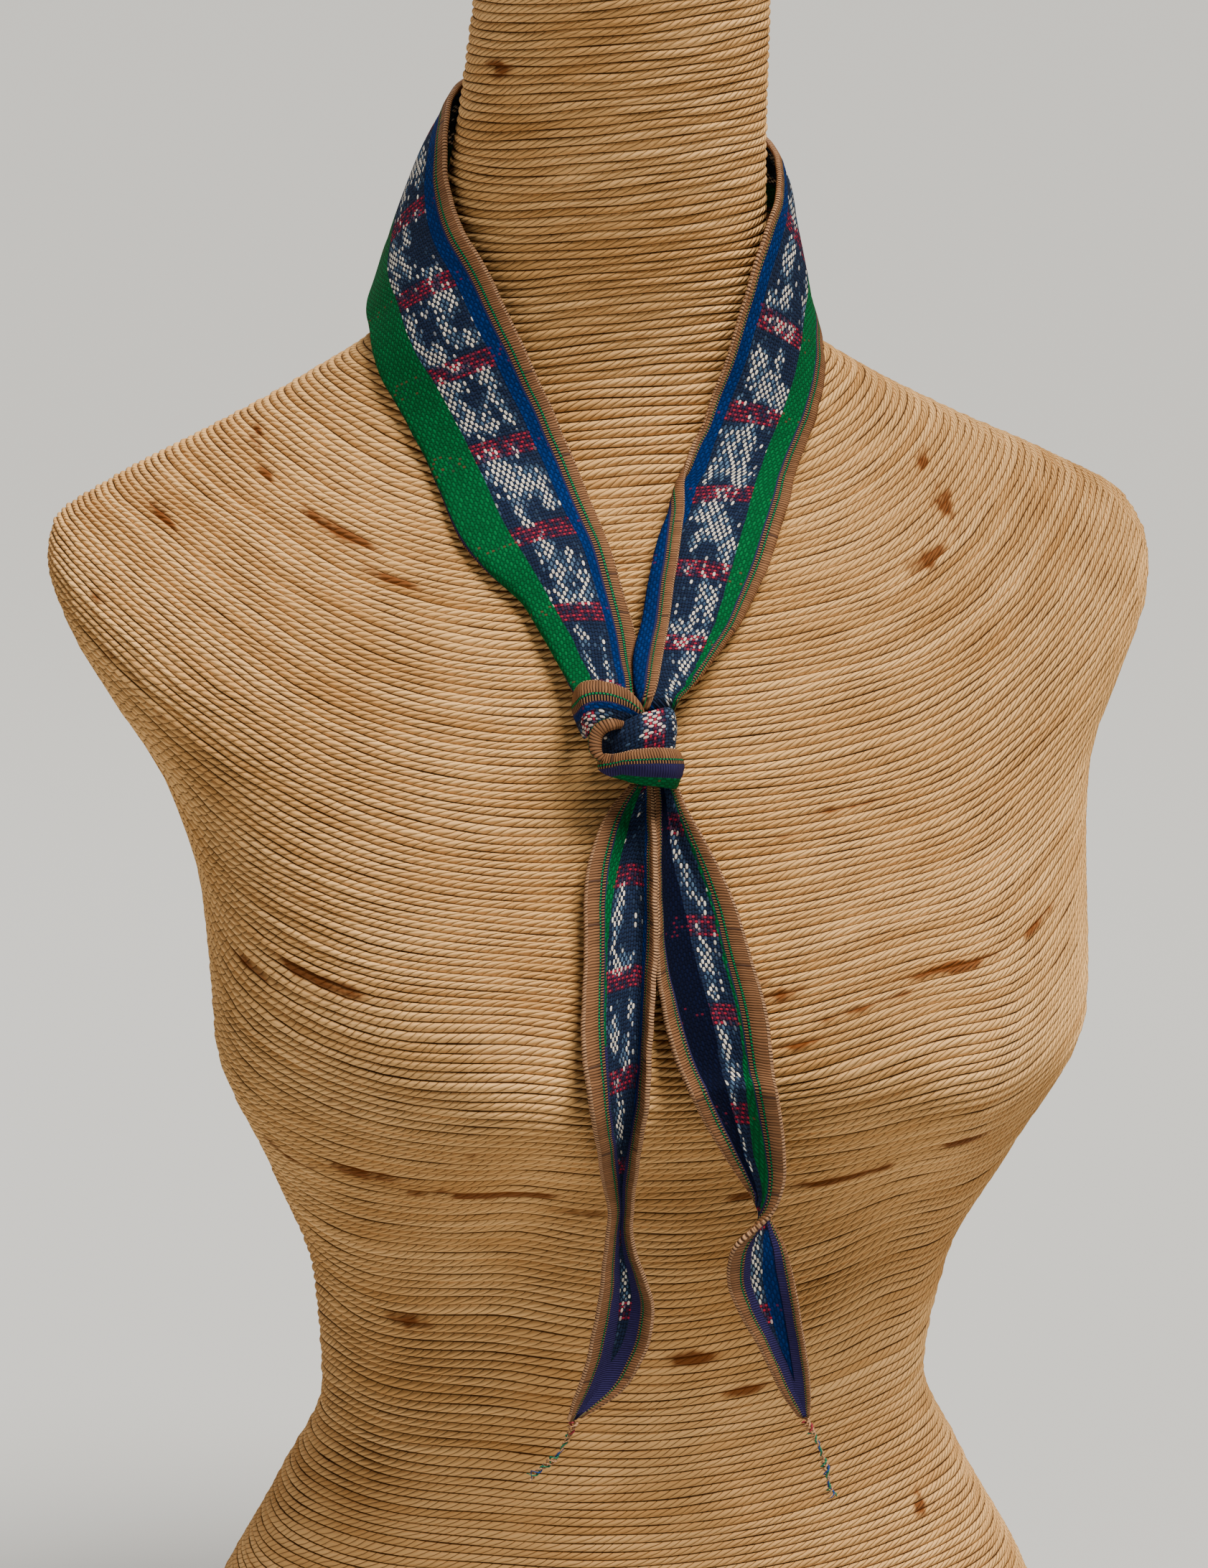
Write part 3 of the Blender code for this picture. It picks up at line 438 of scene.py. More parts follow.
LEFT_LAPEL_WHITES = [
    White(11, 31.5, 15, 1.8), White(9, 19.5, 14, 1.8), White(24, 29, 6, 2.6),
    White(58, 27, 7, 3.2), White(49, 26, 7, 5, 0.85), White(41, 28, 6, 5, 0.85),
    White(44, 18, 10, 2.4, 0.75), White(54, 21, 5, 2, 0.7), White(38, 20, 4, 3, 0.8),
    White(91, 30, 7, 5), White(86, 24, 7, 8), White(82, 18, 6, 3, 0.9),
    White(77, 28.5, 9, 1.5), White(76, 17.5, 3, 3, 0.8), White(96, 28, 5, 1.4, 0.9),
    White(97, 22, 4, 1.2, 0.8),
    White(122, 33, 8, 2.8), White(112, 31.5, 6, 4), White(108, 25, 3.5, 4), White(117, 19.5, 7, 2.4),
    White(126, 19, 5, 4), White(109, 18.5, 5, 2, 0.9), White(126, 29, 2.5, 3, 0.8),
    White(115, 24.5, 4, 1.4, 0.8),
    White(150, 33.6, 11, 2), White(139, 31, 4, 5), White(158, 20, 7, 4.6), White(147, 22.5, 6, 2.4),
    White(141, 19, 3.5, 5, 0.9), White(132, 26, 3, 3, 0.8),
    White(186, 32, 9, 3.6), White(178, 27.5, 8, 2.5), White(172, 34, 5, 2), White(190, 24, 5, 2),
    White(196, 19, 4, 2.4), White(169, 20, 4, 3, 0.9),
]
RIGHT_LAPEL_WHITES = [
    White(440, 20, 9, 3), White(452, 24, 6, 2.6), White(446, 34.4, 12, 1.2), White(456, 18, 3, 3),
    White(462, 26, 3, 7, 0.9),
    White(478, 19.5, 7, 4), White(484, 25, 7, 6), White(487, 31.5, 6, 4), White(473, 27, 5, 1.8),
    White(491, 17, 3, 2, 0.8),
    White(506, 20, 8, 5.5, 0.75), White(516, 22, 7, 8, 0.7), White(509, 27.5, 8, 2.6),
    White(521, 29.5, 5, 4),
    White(500, 25, 4, 3), White(518, 16.5, 6, 2, 0.95), White(528, 23, 3, 4, 0.8),
    White(536, 21, 6, 6), White(544, 26, 6, 6), White(551, 31.5, 6, 3.6),
    White(548, 20, 5, 2.5, 0.8), White(557, 33.5, 4, 2),
    White(561, 20, 3, 2.6, 0.9), White(570, 27.5, 8, 2), White(578, 31.5, 9, 2), White(584, 26, 7, 2.2),
    White(588, 21, 5, 3), White(590, 30, 3, 3), White(594, 25, 3, 4, 0.8),
    White(603, 30, 8, 3.4), White(614, 28, 7, 3.6),
]
LEFT_TAIL_WHITES = [
    White(10, 23, 6, 2.2, 0.9), White(44, 30.5, 10, 3.6), White(61, 26, 4, 7, 0.9),
    White(54, 31.5, 5, 2, 0.9),
    White(84, 30.5, 7, 3.4, 0.9), White(92, 23, 6, 4, 0.85), White(78, 20, 4, 2, 0.75),
    White(100, 29, 3, 3, 0.8),
    White(113, 27, 9, 4.5, 0.9), White(186, 25, 10, 4), White(201, 26, 9, 2.2), White(214, 27, 8, 1.6),
]
RIGHT_TAIL_WHITES = [
    White(8, 18.5, 7, 4.5), White(18, 23, 7, 5), White(26, 27, 4, 4, 0.85),
    White(46, 22, 8, 6.5), White(57, 20, 5, 4, 0.9), White(33, 20, 3, 4, 0.8),
    White(76, 21, 7, 5), White(86, 24, 6, 6, 0.9), White(94, 18.5, 5, 3), White(110, 17, 12, 2.6),
    White(147, 24, 15, 11),
]
UPPER_WRAP_WHITES = [White(132, 17.5, 9, 3)]
FRONT_WRAP_WHITES = [
    White(98, 20, 4, 4.5, 0.8), White(101, 24, 2.4, 2.4, 0.8), White(95, 25.5, 2, 1.4),
    White(98, 31.5, 5, 1.3),
    White(108, 19, 5, 2.6, 0.75), White(111, 25, 5, 5, 0.6), White(109, 30, 4, 1.5, 0.9),
]


class Streak(NamedTuple):
    """Brown streak on the winding: its place, half length, half width in turns and depth."""
    turn: float
    z: float
    half_length: float
    half_turns: float
    depth: float


STREAKS = [
    Streak(-59, 661, 13, 1.6, 0.9),
    Streak(-39, 653, 9, 0.8, 0.5),
    Streak(40, 604, 14, 0.7, 0.5),
    Streak(5, 570, 16, 0.6, 0.4),
    Streak(-80, 537, 8, 2.2, 0.9),
    Streak(-72, 525, 16, 1.4, 0.7),
    Streak(-63, 509, 26, 1.5, 0.95),
    Streak(-56, 495, 18, 1.1, 0.8),
    Streak(-79, 516, 10, 1.6, 0.7),
    Streak(-76, 510, 10, 1.0, 0.6),
    Streak(71, 523, 9, 3.2, 0.7),
    Streak(67, 510, 12, 3.4, 0.8),
    Streak(60, 494, 14, 2.2, 0.8),
    Streak(67, 506, 7, 2.0, 0.6),
    Streak(53, 490, 18, 1.4, 0.5),
    Streak(57, 512, 12, 1.2, 0.4),
    Streak(37, 420, 30, 0.9, 0.8),
    Streak(27, 412, 18, 0.8, 0.7),
    Streak(62, 374, 26, 0.9, 0.85),
    Streak(46, 371, 32, 1.0, 0.9),
    Streak(31, 362, 28, 1.1, 0.8),
    Streak(17, 350, 22, 1.0, 0.7),
    Streak(14, 364, 12, 1.6, 0.8),
    Streak(10, 368, 9, 1.0, 0.7),
    Streak(51, 307, 26, 1.0, 0.9),
    Streak(31, 296, 34, 1.1, 0.85),
    Streak(10, 289, 30, 1.0, 0.7),
    Streak(-68, 367, 34, 1.2, 0.85),
    Streak(-76, 366, 18, 0.9, 0.8),
    Streak(-60, 365, 16, 0.8, 0.6),
    Streak(-68, 326, 18, 1.6, 0.5),
    Streak(-76, 296, 20, 1.0, 0.9),
    Streak(-62, 298, 30, 1.2, 0.8),
    Streak(-48, 298, 36, 1.3, 0.85),
    Streak(-30, 288, 26, 1.0, 0.8),
    Streak(-51, 317, 16, 1.2, 0.6),
    Streak(-61, 236, 12, 1.6, 0.9),
    Streak(2, 224, 16, 1.5, 0.95),
    Streak(19, 210, 20, 1.0, 0.7),
    Streak(-9, 229, 10, 1.0, 0.6),
    Streak(-29, 223, 26, 0.7, 0.4),
    Streak(61, 151, 7, 4.5, 0.8),
    Streak(-81, 487, 18, 1.6, 0.7),
    Streak(-79, 470, 22, 1.6, 0.6),
    Streak(-78, 449, 24, 1.3, 0.5),
    Streak(-52, 264, 28, 0.8, 0.4),
    Streak(31, 248, 24, 0.8, 0.45),
    Streak(-72, 169, 26, 0.9, 0.4),
    Streak(5, 183, 28, 0.8, 0.35),
    Streak(-42, 394, 22, 0.6, 0.35),
    Streak(-72, 422, 20, 0.6, 0.35),
    Streak(65, 439, 18, 0.7, 0.4),
    Streak(-28, 380, 14, 0.6, 0.3),
]


# Shapes

def between_rows(low: Array, high: Array, slope_low: Array, slope_high: Array, t: Array) -> Array:
    """Cubic between two rows of values.

    Args:
        low: values at t = 0.
        high: values at t = 1.
        slope_low: change of the values at t = 0.
        slope_high: change of the values at t = 1.
        t: share of the way, of a shape that goes with the values.

    Returns:
        Values at t.
    """
    return ((2*t**3 - 3*t**2 + 1)*low + (3*t**2 - 2*t**3)*high
            + (t**3 - 2*t**2 + t)*slope_low + (t**3 - t**2)*slope_high)


def smooth_rows(rows: Sequence[Sequence[float]], at: Array) -> Array:
    """Monotone cubic values between rows, whose first column is the station.

    Args:
        rows: table rows, in order of their stations.
        at: stations to read.

    Returns:
        The other columns at each station.
    """
    table = np.asarray(rows, float)
    xs, ys = table[:, 0], table[:, 1:]
    step = np.diff(xs)[:, None]
    slope = np.diff(ys, axis=0) / step
    tangent = np.zeros_like(ys)
    tangent[0], tangent[-1] = slope[0], slope[-1]
    for i in range(1, len(xs) - 1):
        same = slope[i-1] * slope[i] > 0
        before = 2*step[i] + step[i-1]
        after = step[i] + 2*step[i-1]
        left = np.where(same, slope[i-1], 1.0)
        right = np.where(same, slope[i], 1.0)
        tangent[i] = np.where(same, (before + after) / (before/left + after/right), 0.0)
    at = np.asarray(at, float)
    i = np.clip(np.searchsorted(xs, at) - 1, 0, len(xs) - 2)
    t = ((at - xs[i]) / step[i, 0])[..., None]
    return between_rows(ys[i], ys[i+1], tangent[i]*step[i], tangent[i+1]*step[i], t)


def read_rows(table: Array, at: Array) -> Array:
    """Rows read along smooth curves through a table's rows.

    Args:
        table: values, a row for each whole station.
        at: stations to read, from 0 to the last row's number.

    Returns:
        A row for each station.
    """
    slope = np.gradient(table, axis=0)
    i = np.minimum(at.astype(int), len(table) - 2)
    t = (at - i).reshape((-1,) + (1,)*(table.ndim - 1))
    return between_rows(table[i], table[i+1], slope[i], slope[i+1], t)


def spline(rows: Sequence[Sequence[float]], count: int) -> Array:
    """Rows read at `count` even steps along smooth curves through a table's rows."""
    return read_rows(np.asarray(rows, float), np.linspace(0, len(rows) - 1, count))


def run_lengths(points: Array) -> Array:
    """Length along a line of points, from 0 at its first."""
    steps = np.linalg.norm(np.diff(points, axis=0), axis=-1)
    return np.concatenate([np.zeros_like(steps[:1]), np.cumsum(steps, axis=0)])


def unit(vector: Array) -> Array:
    """Vectors of length 1."""
    return vector / np.linalg.norm(vector, axis=-1, keepdims=True)


@dataclass(frozen=True)
class FormShape:
    """Body of the dress form: level sections and the swell of the bust."""
    bust_x: float = 75.0
    bust_z: float = 340.0
    bust_out: float = 48.0
    bust_reach_x: float = 64.0
    bust_reach_z: float = 50.0
    hang_y: float = -134.0
    hang_z: float = 338.0
    hang_lean: float = 0.12
    hang_blend: float = 3.0

    def swell(self, x: Array, z: Array) -> Array:
        """Forward swell of the bust.

        Args:
            x: places across.
            z: heights.

        Returns:
            Swells.
        """
        across = (np.exp(-((x - self.bust_x)/self.bust_reach_x)**2)
                  + np.exp(-((x + self.bust_x)/self.bust_reach_x)**2))
        return self.bust_out * across * np.exp(-((z - self.bust_z)/self.bust_reach_z)**2)

    def skin(self, turn: Array, z: Array) -> Array:
        """Points of the form's surface.

        Args:
            turn: degrees from the front, positive towards +x.
            z: heights.

        Returns:
            Points, x, y and z last.
        """
        row = smooth_rows(FORM_SECTIONS, z)
        width, front, back, mid_x, mid_y, power = [row[..., k] for k in range(6)]
        s, c = np.sin(np.radians(turn)), np.cos(np.radians(turn))
        depth = np.where(c > 0, front, back)
        reach = (np.abs(s/width)**power + np.abs(c/depth)**power) ** (-1/power)
        x = reach*s
        y = mid_y - reach*c - self.swell(x, z)*np.clip(1.5*c, 0, 1)
        return np.stack([x + mid_x, y, z + 0*x], -1)

    def out(self, turn: Array, z: Array) -> Array:
        """Outward normals of the form's surface.

        Args:
            turn: degrees from the front.
            z: heights.

        Returns:
            Directions, x, y and z last.
        """
        around = self.skin(turn + 0.5, z) - self.skin(turn - 0.5, z)
        rise = self.skin(turn, z + 0.5) - self.skin(turn, z - 0.5)
        return unit(np.cross(around, rise))

    def off_skin(self, turn: Array, z: Array, lift: Array) -> Array:
        """Point at a distance off the form's surface."""
        turn, z = np.asarray(turn, float), np.asarray(z, float)
        return self.skin(turn, z) + self.out(turn, z)*np.asarray(lift, float)[..., None]

    def rest_y(self, x: Array, z: Array) -> Array:
        """Depth at which a hanging end lies, on the chest or free below it.

        Args:
            x: places across the form.
            z: heights.

        Returns:
            Values of y.
        """
        row = smooth_rows(FORM_SECTIONS, z)
        width, front, _, mid_x, mid_y, power = [row[..., k] for k in range(6)]
        aside = x - mid_x
        c = np.clip(1 - np.abs(aside/width)**power, 1e-6, 1) ** (1/power)
        chest = mid_y - front*c - self.swell(aside, z)*np.clip(1.5*c, 0, 1)
        below = self.hang_z - np.asarray(z, float)
        lean = np.where(below > 0, self.hang_lean*below, -1.4*below)
        hang = self.hang_y + lean + 0*chest
        blend = self.hang_blend
        return -blend*np.log(np.exp(-chest/blend) + np.exp(-hang/blend))


@dataclass(frozen=True)
class KnotShape:
    """Rounded body of the knot, over one point of the form."""
    form: FormShape
    turn: float = -13.8
    z: float = 441.0
    lift: float = 12.5
    half_width: float = 12.5
    half_height: float = 10.5
    half_depth: float = 9.0

    def axes(self) -> Array:
        """Directions at the knot.

        Returns:
            Right, up the chest and out of it, a row for each.
        """
        out = self.form.off_skin(self.turn, self.z, 1.0) - self.form.off_skin(self.turn, self.z, 0.0)
        right = unit(np.cross([0.0, 0.0, 1.0], out))
        return np.stack([right, np.cross(out, right), out])

    def middle(self) -> Array:
        """Middle of the knot."""
        return self.form.off_skin(self.turn, self.z, 0.0) + self.lift*self.axes()[2]


@dataclass(frozen=True)
class ScarfSections:
    """Lines across the scarf's stretches, as they lie on the form."""
    form: FormShape
    knot: KnotShape
    fold_radius: float = 1.6

    def rolled_edge(self, corner: Array, inward: Array, outward: Array, margin: float,
                    tilt: float) -> list[Array]:
        """Margin rolled back over the cloth at a corner, from its free edge to the corner.

        Args:
            corner: point where the cloth turns.
            inward: direction across the cloth, away from this edge.
            outward: direction to which the margin rolls.
            margin: width of the rolled margin.
            tilt: slope of the cloth at the corner, in radians.

        Returns:
            Five points across the margin.
        """
        radius = self.fold_radius
        angle = math.pi * min(1.0, max(margin, 0.5) / 5.0)
        margin = max(margin, 1.0)
        curl = min(max(radius*angle, 0.45*margin), 0.7*margin)
        points = []
        for run in (margin, 0.5*(margin + curl), curl, 0.66*curl, 0.33*curl):
            bent = min(run, radius*angle)
            turn = bent / radius
            rest = run - bent
            back = radius*math.sin(turn) + rest*math.cos(turn)
            up = radius*(1 - math.cos(turn)) + rest*math.sin(turn)
            a = -back*math.cos(tilt) - up*math.sin(tilt)
            h = -back*math.sin(tilt) + up*math.cos(tilt)
            points.append(corner + a*inward + h*outward)
        return points

    def loop(self, values: Array) -> Array:
        """Line across the neck loop.

        Args:
            values: a loop row's values.

        Returns:
            Points from the inner edge to the outer one.
        """
        row = LoopRow(*values)
        form = self.form
        inner = form.off_skin(row.inner_turn, row.inner_z, row.inner_lift)
        outer = form.off_skin(row.outer_turn, row.outer_z, row.outer_lift)
        chord = outer - inner
        width = np.linalg.norm(chord)
        across = chord / width
        out = form.out(row.inner_turn, row.inner_z) + form.out(row.outer_turn, row.outer_z)
        out = unit(out - across*(out @ across))
        tilt = math.atan(math.pi*row.bulge/width)
        line = self.rolled_edge(inner, across, out, row.over, tilt)
        for t in np.linspace(0, 1, 9):
            line.append(inner + chord*t + out*row.bulge*math.sin(math.pi*t))
        line += self.rolled_edge(outer, -across, -out, row.tuck, -tilt)[::-1]
        return np.array(line)

    def tail(self, values: Array) -> Array:
        """Line across a hanging end.

        Args:
            values: a tail row's values: a height, then five pairs of x and stand-off.

        Returns:
            Points across the end.
        """
        row = np.asarray(values, float)
        z = row[0]
        places = np.array([[x, self.form.rest_y(x, z) - out, z] for x, out in row[1:].reshape(5, 2)])
        return spline(places, 25)

    def wrap(self, values: Array) -> Array:
        """Line down a stretch of the knot, bowed outwards between its ends.

        Args:
            values: a knot row's values.

        Returns:
            Points from the top to the low end.
        """
        row = KnotRow(*values)
        top = np.array([row.top_a, row.top_b, row.top_h])
        low = np.array([row.low_a, row.low_b, row.low_h])
        down = unit(low - top)
        middle = (top + low)/2
        out = np.array([middle[0]/256, 0.0, max(middle[2], 0.0)/110 + 1e-3])
        out = unit(out - down*(out @ down))
        line = np.array([top + (low - top)*t + out*row.bulge*math.sin(math.pi*t)
                         for t in np.linspace(0, 1, 9)])
        return self.knot.middle() + line @ self.knot.axes()


# Meshes

def place_at_origin(item: bpy.types.Object) -> None:
    """Leave a finished piece selected alone, smooth and unturned at the origin."""
    item.location, item.rotation_euler, item.scale = (0, 0, 0), (0, 0, 0), (1, 1, 1)
    bpy.ops.object.shade_smooth()


def grid_piece(name: str, points: Array, maps: dict[str, Array]) -> bpy.types.Object:
    """Grid added as a primitive and shaped to rows of points.

    Args:
        name: name of the piece.
        points: places in mm, by row and column.
        maps: UV maps by name, two values for each point.

    Returns:
        The piece, its faces towards the side from which the rows rise to the right.
    """
    rows, columns = points.shape[:2]
    bpy.ops.object.select_all(action="DESELECT")
    bpy.ops.mesh.primitive_grid_add(x_subdivisions=columns - 1, y_subdivisions=rows - 1, size=1)
    item = bpy.context.object
    item.name = item.data.name = name
    mesh = item.data
    mesh.vertices.foreach_set("co", (points*MM).astype(np.float32).reshape(-1))
    corners = np.empty(len(mesh.loops), np.int32)
    mesh.loops.foreach_get("vertex_index", corners)
    while mesh.uv_layers:
        mesh.uv_layers.remove(mesh.uv_layers[0])
    for label, values in maps.items():
        layer = mesh.uv_layers.new(name=label)
        flat = values.reshape(-1, 2)[corners].astype(np.float32)
        layer.uv.foreach_set("vector", flat.reshape(-1))
    mesh.update()
    place_at_origin(item)
    return item


def apply_modifier(item: bpy.types.Object, kind: str, **settings: Any) -> None:
    """Add a modifier to the active piece, set it and apply it.

    Args:
        item: the piece, which is active.
        kind: the modifier's type.
        settings: its properties.
    """
    modifier = item.modifiers.new(kind.title(), kind)
    for key, value in settings.items():
        setattr(modifier, key, value)
    bpy.ops.object.modifier_apply(modifier=modifier.name)


# Shaders

def srgb(red: int, green: int, blue: int) -> Colour:
    """Scene colour of a colour seen on a screen.

    Args:
        red: from 0 to 255.
        green: from 0 to 255.
        blue: from 0 to 255.

    Returns:
        The colour, opaque.
    """
    def one(v: float) -> float:
        """Light of one value."""
        v /= 255
        return v/12.92 if v <= 0.04045 else ((v + 0.055)/1.055)**2.4
    return one(red), one(green), one(blue), 1.0


class Signal:
    """Value in a shader, on which arithmetic adds Math nodes."""

    def __init__(self, graph: "Graph", socket: bpy.types.NodeSocket) -> None:
        """Wrap one output socket."""
        self.graph = graph
        self.socket = socket

    def __add__(self, other: "Number") -> "Signal":
        """Sum."""
        return self.graph.math("ADD", self, other)

    __radd__ = __add__

    def __sub__(self, other: "Number") -> "Signal":
        """Difference."""
        return self.graph.math("SUBTRACT", self, other)

    def __rsub__(self, other: "Number") -> "Signal":
        """Difference from a number."""
        return self.graph.math("SUBTRACT", other, self)

    def __mul__(self, other: "Number") -> "Signal":
        """Product."""
        return self.graph.math("MULTIPLY", self, other)

    __rmul__ = __mul__

    def __truediv__(self, other: "Number") -> "Signal":
        """Quotient."""
        return self.graph.math("DIVIDE", self, other)

    def __pow__(self, other: "Number") -> "Signal":
        """Power."""
        return self.graph.math("POWER", self, other)

    def __gt__(self, other: "Number") -> "Signal":
        """1 where this is greater."""
        return self.graph.math("GREATER_THAN", self, other)

    def __lt__(self, other: "Number") -> "Signal":
        """1 where this is less."""
        return self.graph.math("LESS_THAN", self, other)

    def __abs__(self) -> "Signal":
        """Size without sign."""
        return self.graph.math("ABSOLUTE", self)

    def floor(self) -> "Signal":
        """Whole part."""
        return self.graph.math("FLOOR", self)

    def fract(self) -> "Signal":
        """Part after the point."""
        return self.graph.math("FRACT", self)

    def sine(self) -> "Signal":
        """Sine of radians."""
        return self.graph.math("SINE", self)

    def least(self, other: "Number") -> "Signal":
        """Smaller of two."""
        return self.graph.math("MINIMUM", self, other)

    def most(self, other: "Number") -> "Signal":
        """Larger of two."""
        return self.graph.math("MAXIMUM", self, other)

    def step(self, low: float, high: float) -> "Signal":
        """Smooth rise from 0 to 1, or a fall where `low` is above `high`.

        Args:
            low: value at which the result is 0.
            high: value at which the result is 1.

        Returns:
            The rise.
        """
        if low > high:
            return 1.0 - self.step(high, low)
        node = self.graph.node("ShaderNodeMapRange", {"interpolation_type": "SMOOTHSTEP"},
                               {"Value": self, "From Min": low, "From Max": high})
        return Signal(self.graph, node.outputs["Result"])

    def between(self, low: float, high: float, soft: float = 0.1) -> "Signal":
        """1 between two values, with soft ends."""
        return self.step(low - soft, low + soft) * self.step(high + soft, high - soft)


Number = Union[Signal, float]


class Graph:
    """Node tree of one material."""

    def __init__(self, name: str) -> None:
        """Start a material with a Principled shader.

        Args:
            name: name of the material.
        """
        self.material = bpy.data.materials.new(name)
        self.material.use_nodes = True
        self.tree = self.material.node_tree
        self.shader = next(n for n in self.tree.nodes if n.type == "BSDF_PRINCIPLED")

    def node(self, kind: str, settings: dict[str, Any], inputs: dict[Any, Any]) -> bpy.types.Node:
        """Add a node.

        Args:
            kind: node type.
            settings: its properties, set first.
            inputs: values or signals by socket name or index.

        Returns:
            The node.
        """
        node = self.tree.nodes.new(kind)
        for key, value in settings.items():
            setattr(node, key, value)
        for key, value in inputs.items():
            self.feed(node.inputs[key], value)
        return node

    def feed(self, socket: bpy.types.NodeSocket, value: Any) -> None:
        """Link a signal to a socket, or set its value.

        Args:
            socket: the input.
            value: a signal, number, vector or colour.
        """
        if isinstance(value, Signal):
            self.tree.links.new(value.socket, socket)
        else:
            socket.default_value = value

    def math(self, operation: str, *values: Number) -> Signal:
        """Math node on one or two values."""
        node = self.node("ShaderNodeMath", {"operation": operation}, dict(enumerate(values)))
        return Signal(self, node.outputs[0])

    def pair(self, label: str) -> tuple[Signal, Signal]:
        """Two values of one of the piece's UV maps.

        Args:
            label: the map's name.

        Returns:
            Its two values.
        """
        split = self.node("ShaderNodeSeparateXYZ", {}, {})
        uv = self.node("ShaderNodeUVMap", {"uv_map": label}, {})
        self.tree.links.new(uv.outputs["UV"], split.inputs[0])
        return Signal(self, split.outputs[0]), Signal(self, split.outputs[1])

    def place(self) -> Signal:
        """Object coordinates."""
        return Signal(self, self.node("ShaderNodeTexCoord", {}, {}).outputs["Object"])

    def vector(self, x: Number, y: Number, z: Number = 0.0) -> Signal:
        """Vector of three values."""
        return Signal(self, self.node("ShaderNodeCombineXYZ", {}, {0: x, 1: y, 2: z}).outputs[0])

    def noise(self, vector: Signal, scale: float = 1.0, detail: float = 2.0,
              rough: float = 0.5) -> Signal:
        """Noise from 0 to 1 at a vector.

        Args:
            vector: where the noise is read.
            scale: how fine it is.
            detail: octaves.
            rough: share of each finer octave.

        Returns:
            The noise.
        """
        node = self.node("ShaderNodeTexNoise", {"noise_dimensions": "3D"},
                         {"Vector": vector, "Scale": scale, "Detail": detail, "Roughness": rough})
        return Signal(self, node.outputs["Fac"])

    def chance(self, x: Number, y: Number = 0.0) -> Signal:
        """Even random value from 0 to 1 for each x and y.

        Args:
            x: first number, whole.
            y: second number, whole.

        Returns:
            The value.
        """
        node = self.node("ShaderNodeTexWhiteNoise", {"noise_dimensions": "3D"},
                         {"Vector": self.vector(x, y, 0.37)})
        return Signal(self, node.outputs["Value"])

    def mix(self, share: Number, low: Any, high: Any) -> Signal:
        """Colour between two colours.

        Args:
            share: 0 for the first colour, 1 for the second.
            low: first colour.
            high: second colour.

        Returns:
            The colour.
        """
        node = self.node("ShaderNodeMix", {"data_type": "RGBA"}, {0: share, 6: low, 7: high})
        return Signal(self, node.outputs[2])

    def shade(self, colour: Union[Signal, Colour], amount: Number) -> Signal:
        """Colour times an amount.

        Args:
            colour: the colour.
            amount: what it is multiplied by.

        Returns:
            The lighter or darker colour.
        """
        colour = colour if isinstance(colour, Signal) else colour[:3]
        node = self.node("ShaderNodeVectorMath", {"operation": "SCALE"}, {0: colour, "Scale": amount})
        return Signal(self, node.outputs[0])

    def finish(self, colour: Any, roughness: Number, height: Optional[Signal] = None,
               **constants: float) -> bpy.types.Material:
        """Join the finish to the shader.

        Args:
            colour: base colour.
            roughness: roughness.
            height: relief in mm, for a bump.
            constants: values set on the shader's own sockets, with _ for a space.

        Returns:
            The material.
        """
        self.feed(self.shader.inputs["Base Color"], colour)
        self.feed(self.shader.inputs["Roughness"], roughness)
        if height is not None:
            bump = self.node("ShaderNodeBump", {}, {"Strength": 1.0, "Distance": MM, "Height": height})
            self.tree.links.new(bump.outputs["Normal"], self.shader.inputs["Normal"])
        for key, value in constants.items():
            self.shader.inputs[key.replace("_", " ")].default_value = value
        return self.material


# Finishes

@dataclass(frozen=True)
class ClothLayout:
    """Zones across the flat scarf, from the blue edge to the green one, in mm."""
    satin: float = 6.0
    chain: float = 7.0
    ribs: float = 8.5
    trim: float = 9.2
    blue: float = 14.0
    ikat: float = 35.5
    green: float = 48.0
    width: float = 57.2

    def bounds(self) -> Array:
        """Zone ends, both borders included."""
        return np.array([0, self.satin, self.trim, self.blue, self.ikat, self.green,
                         self.width - self.satin, self.width])


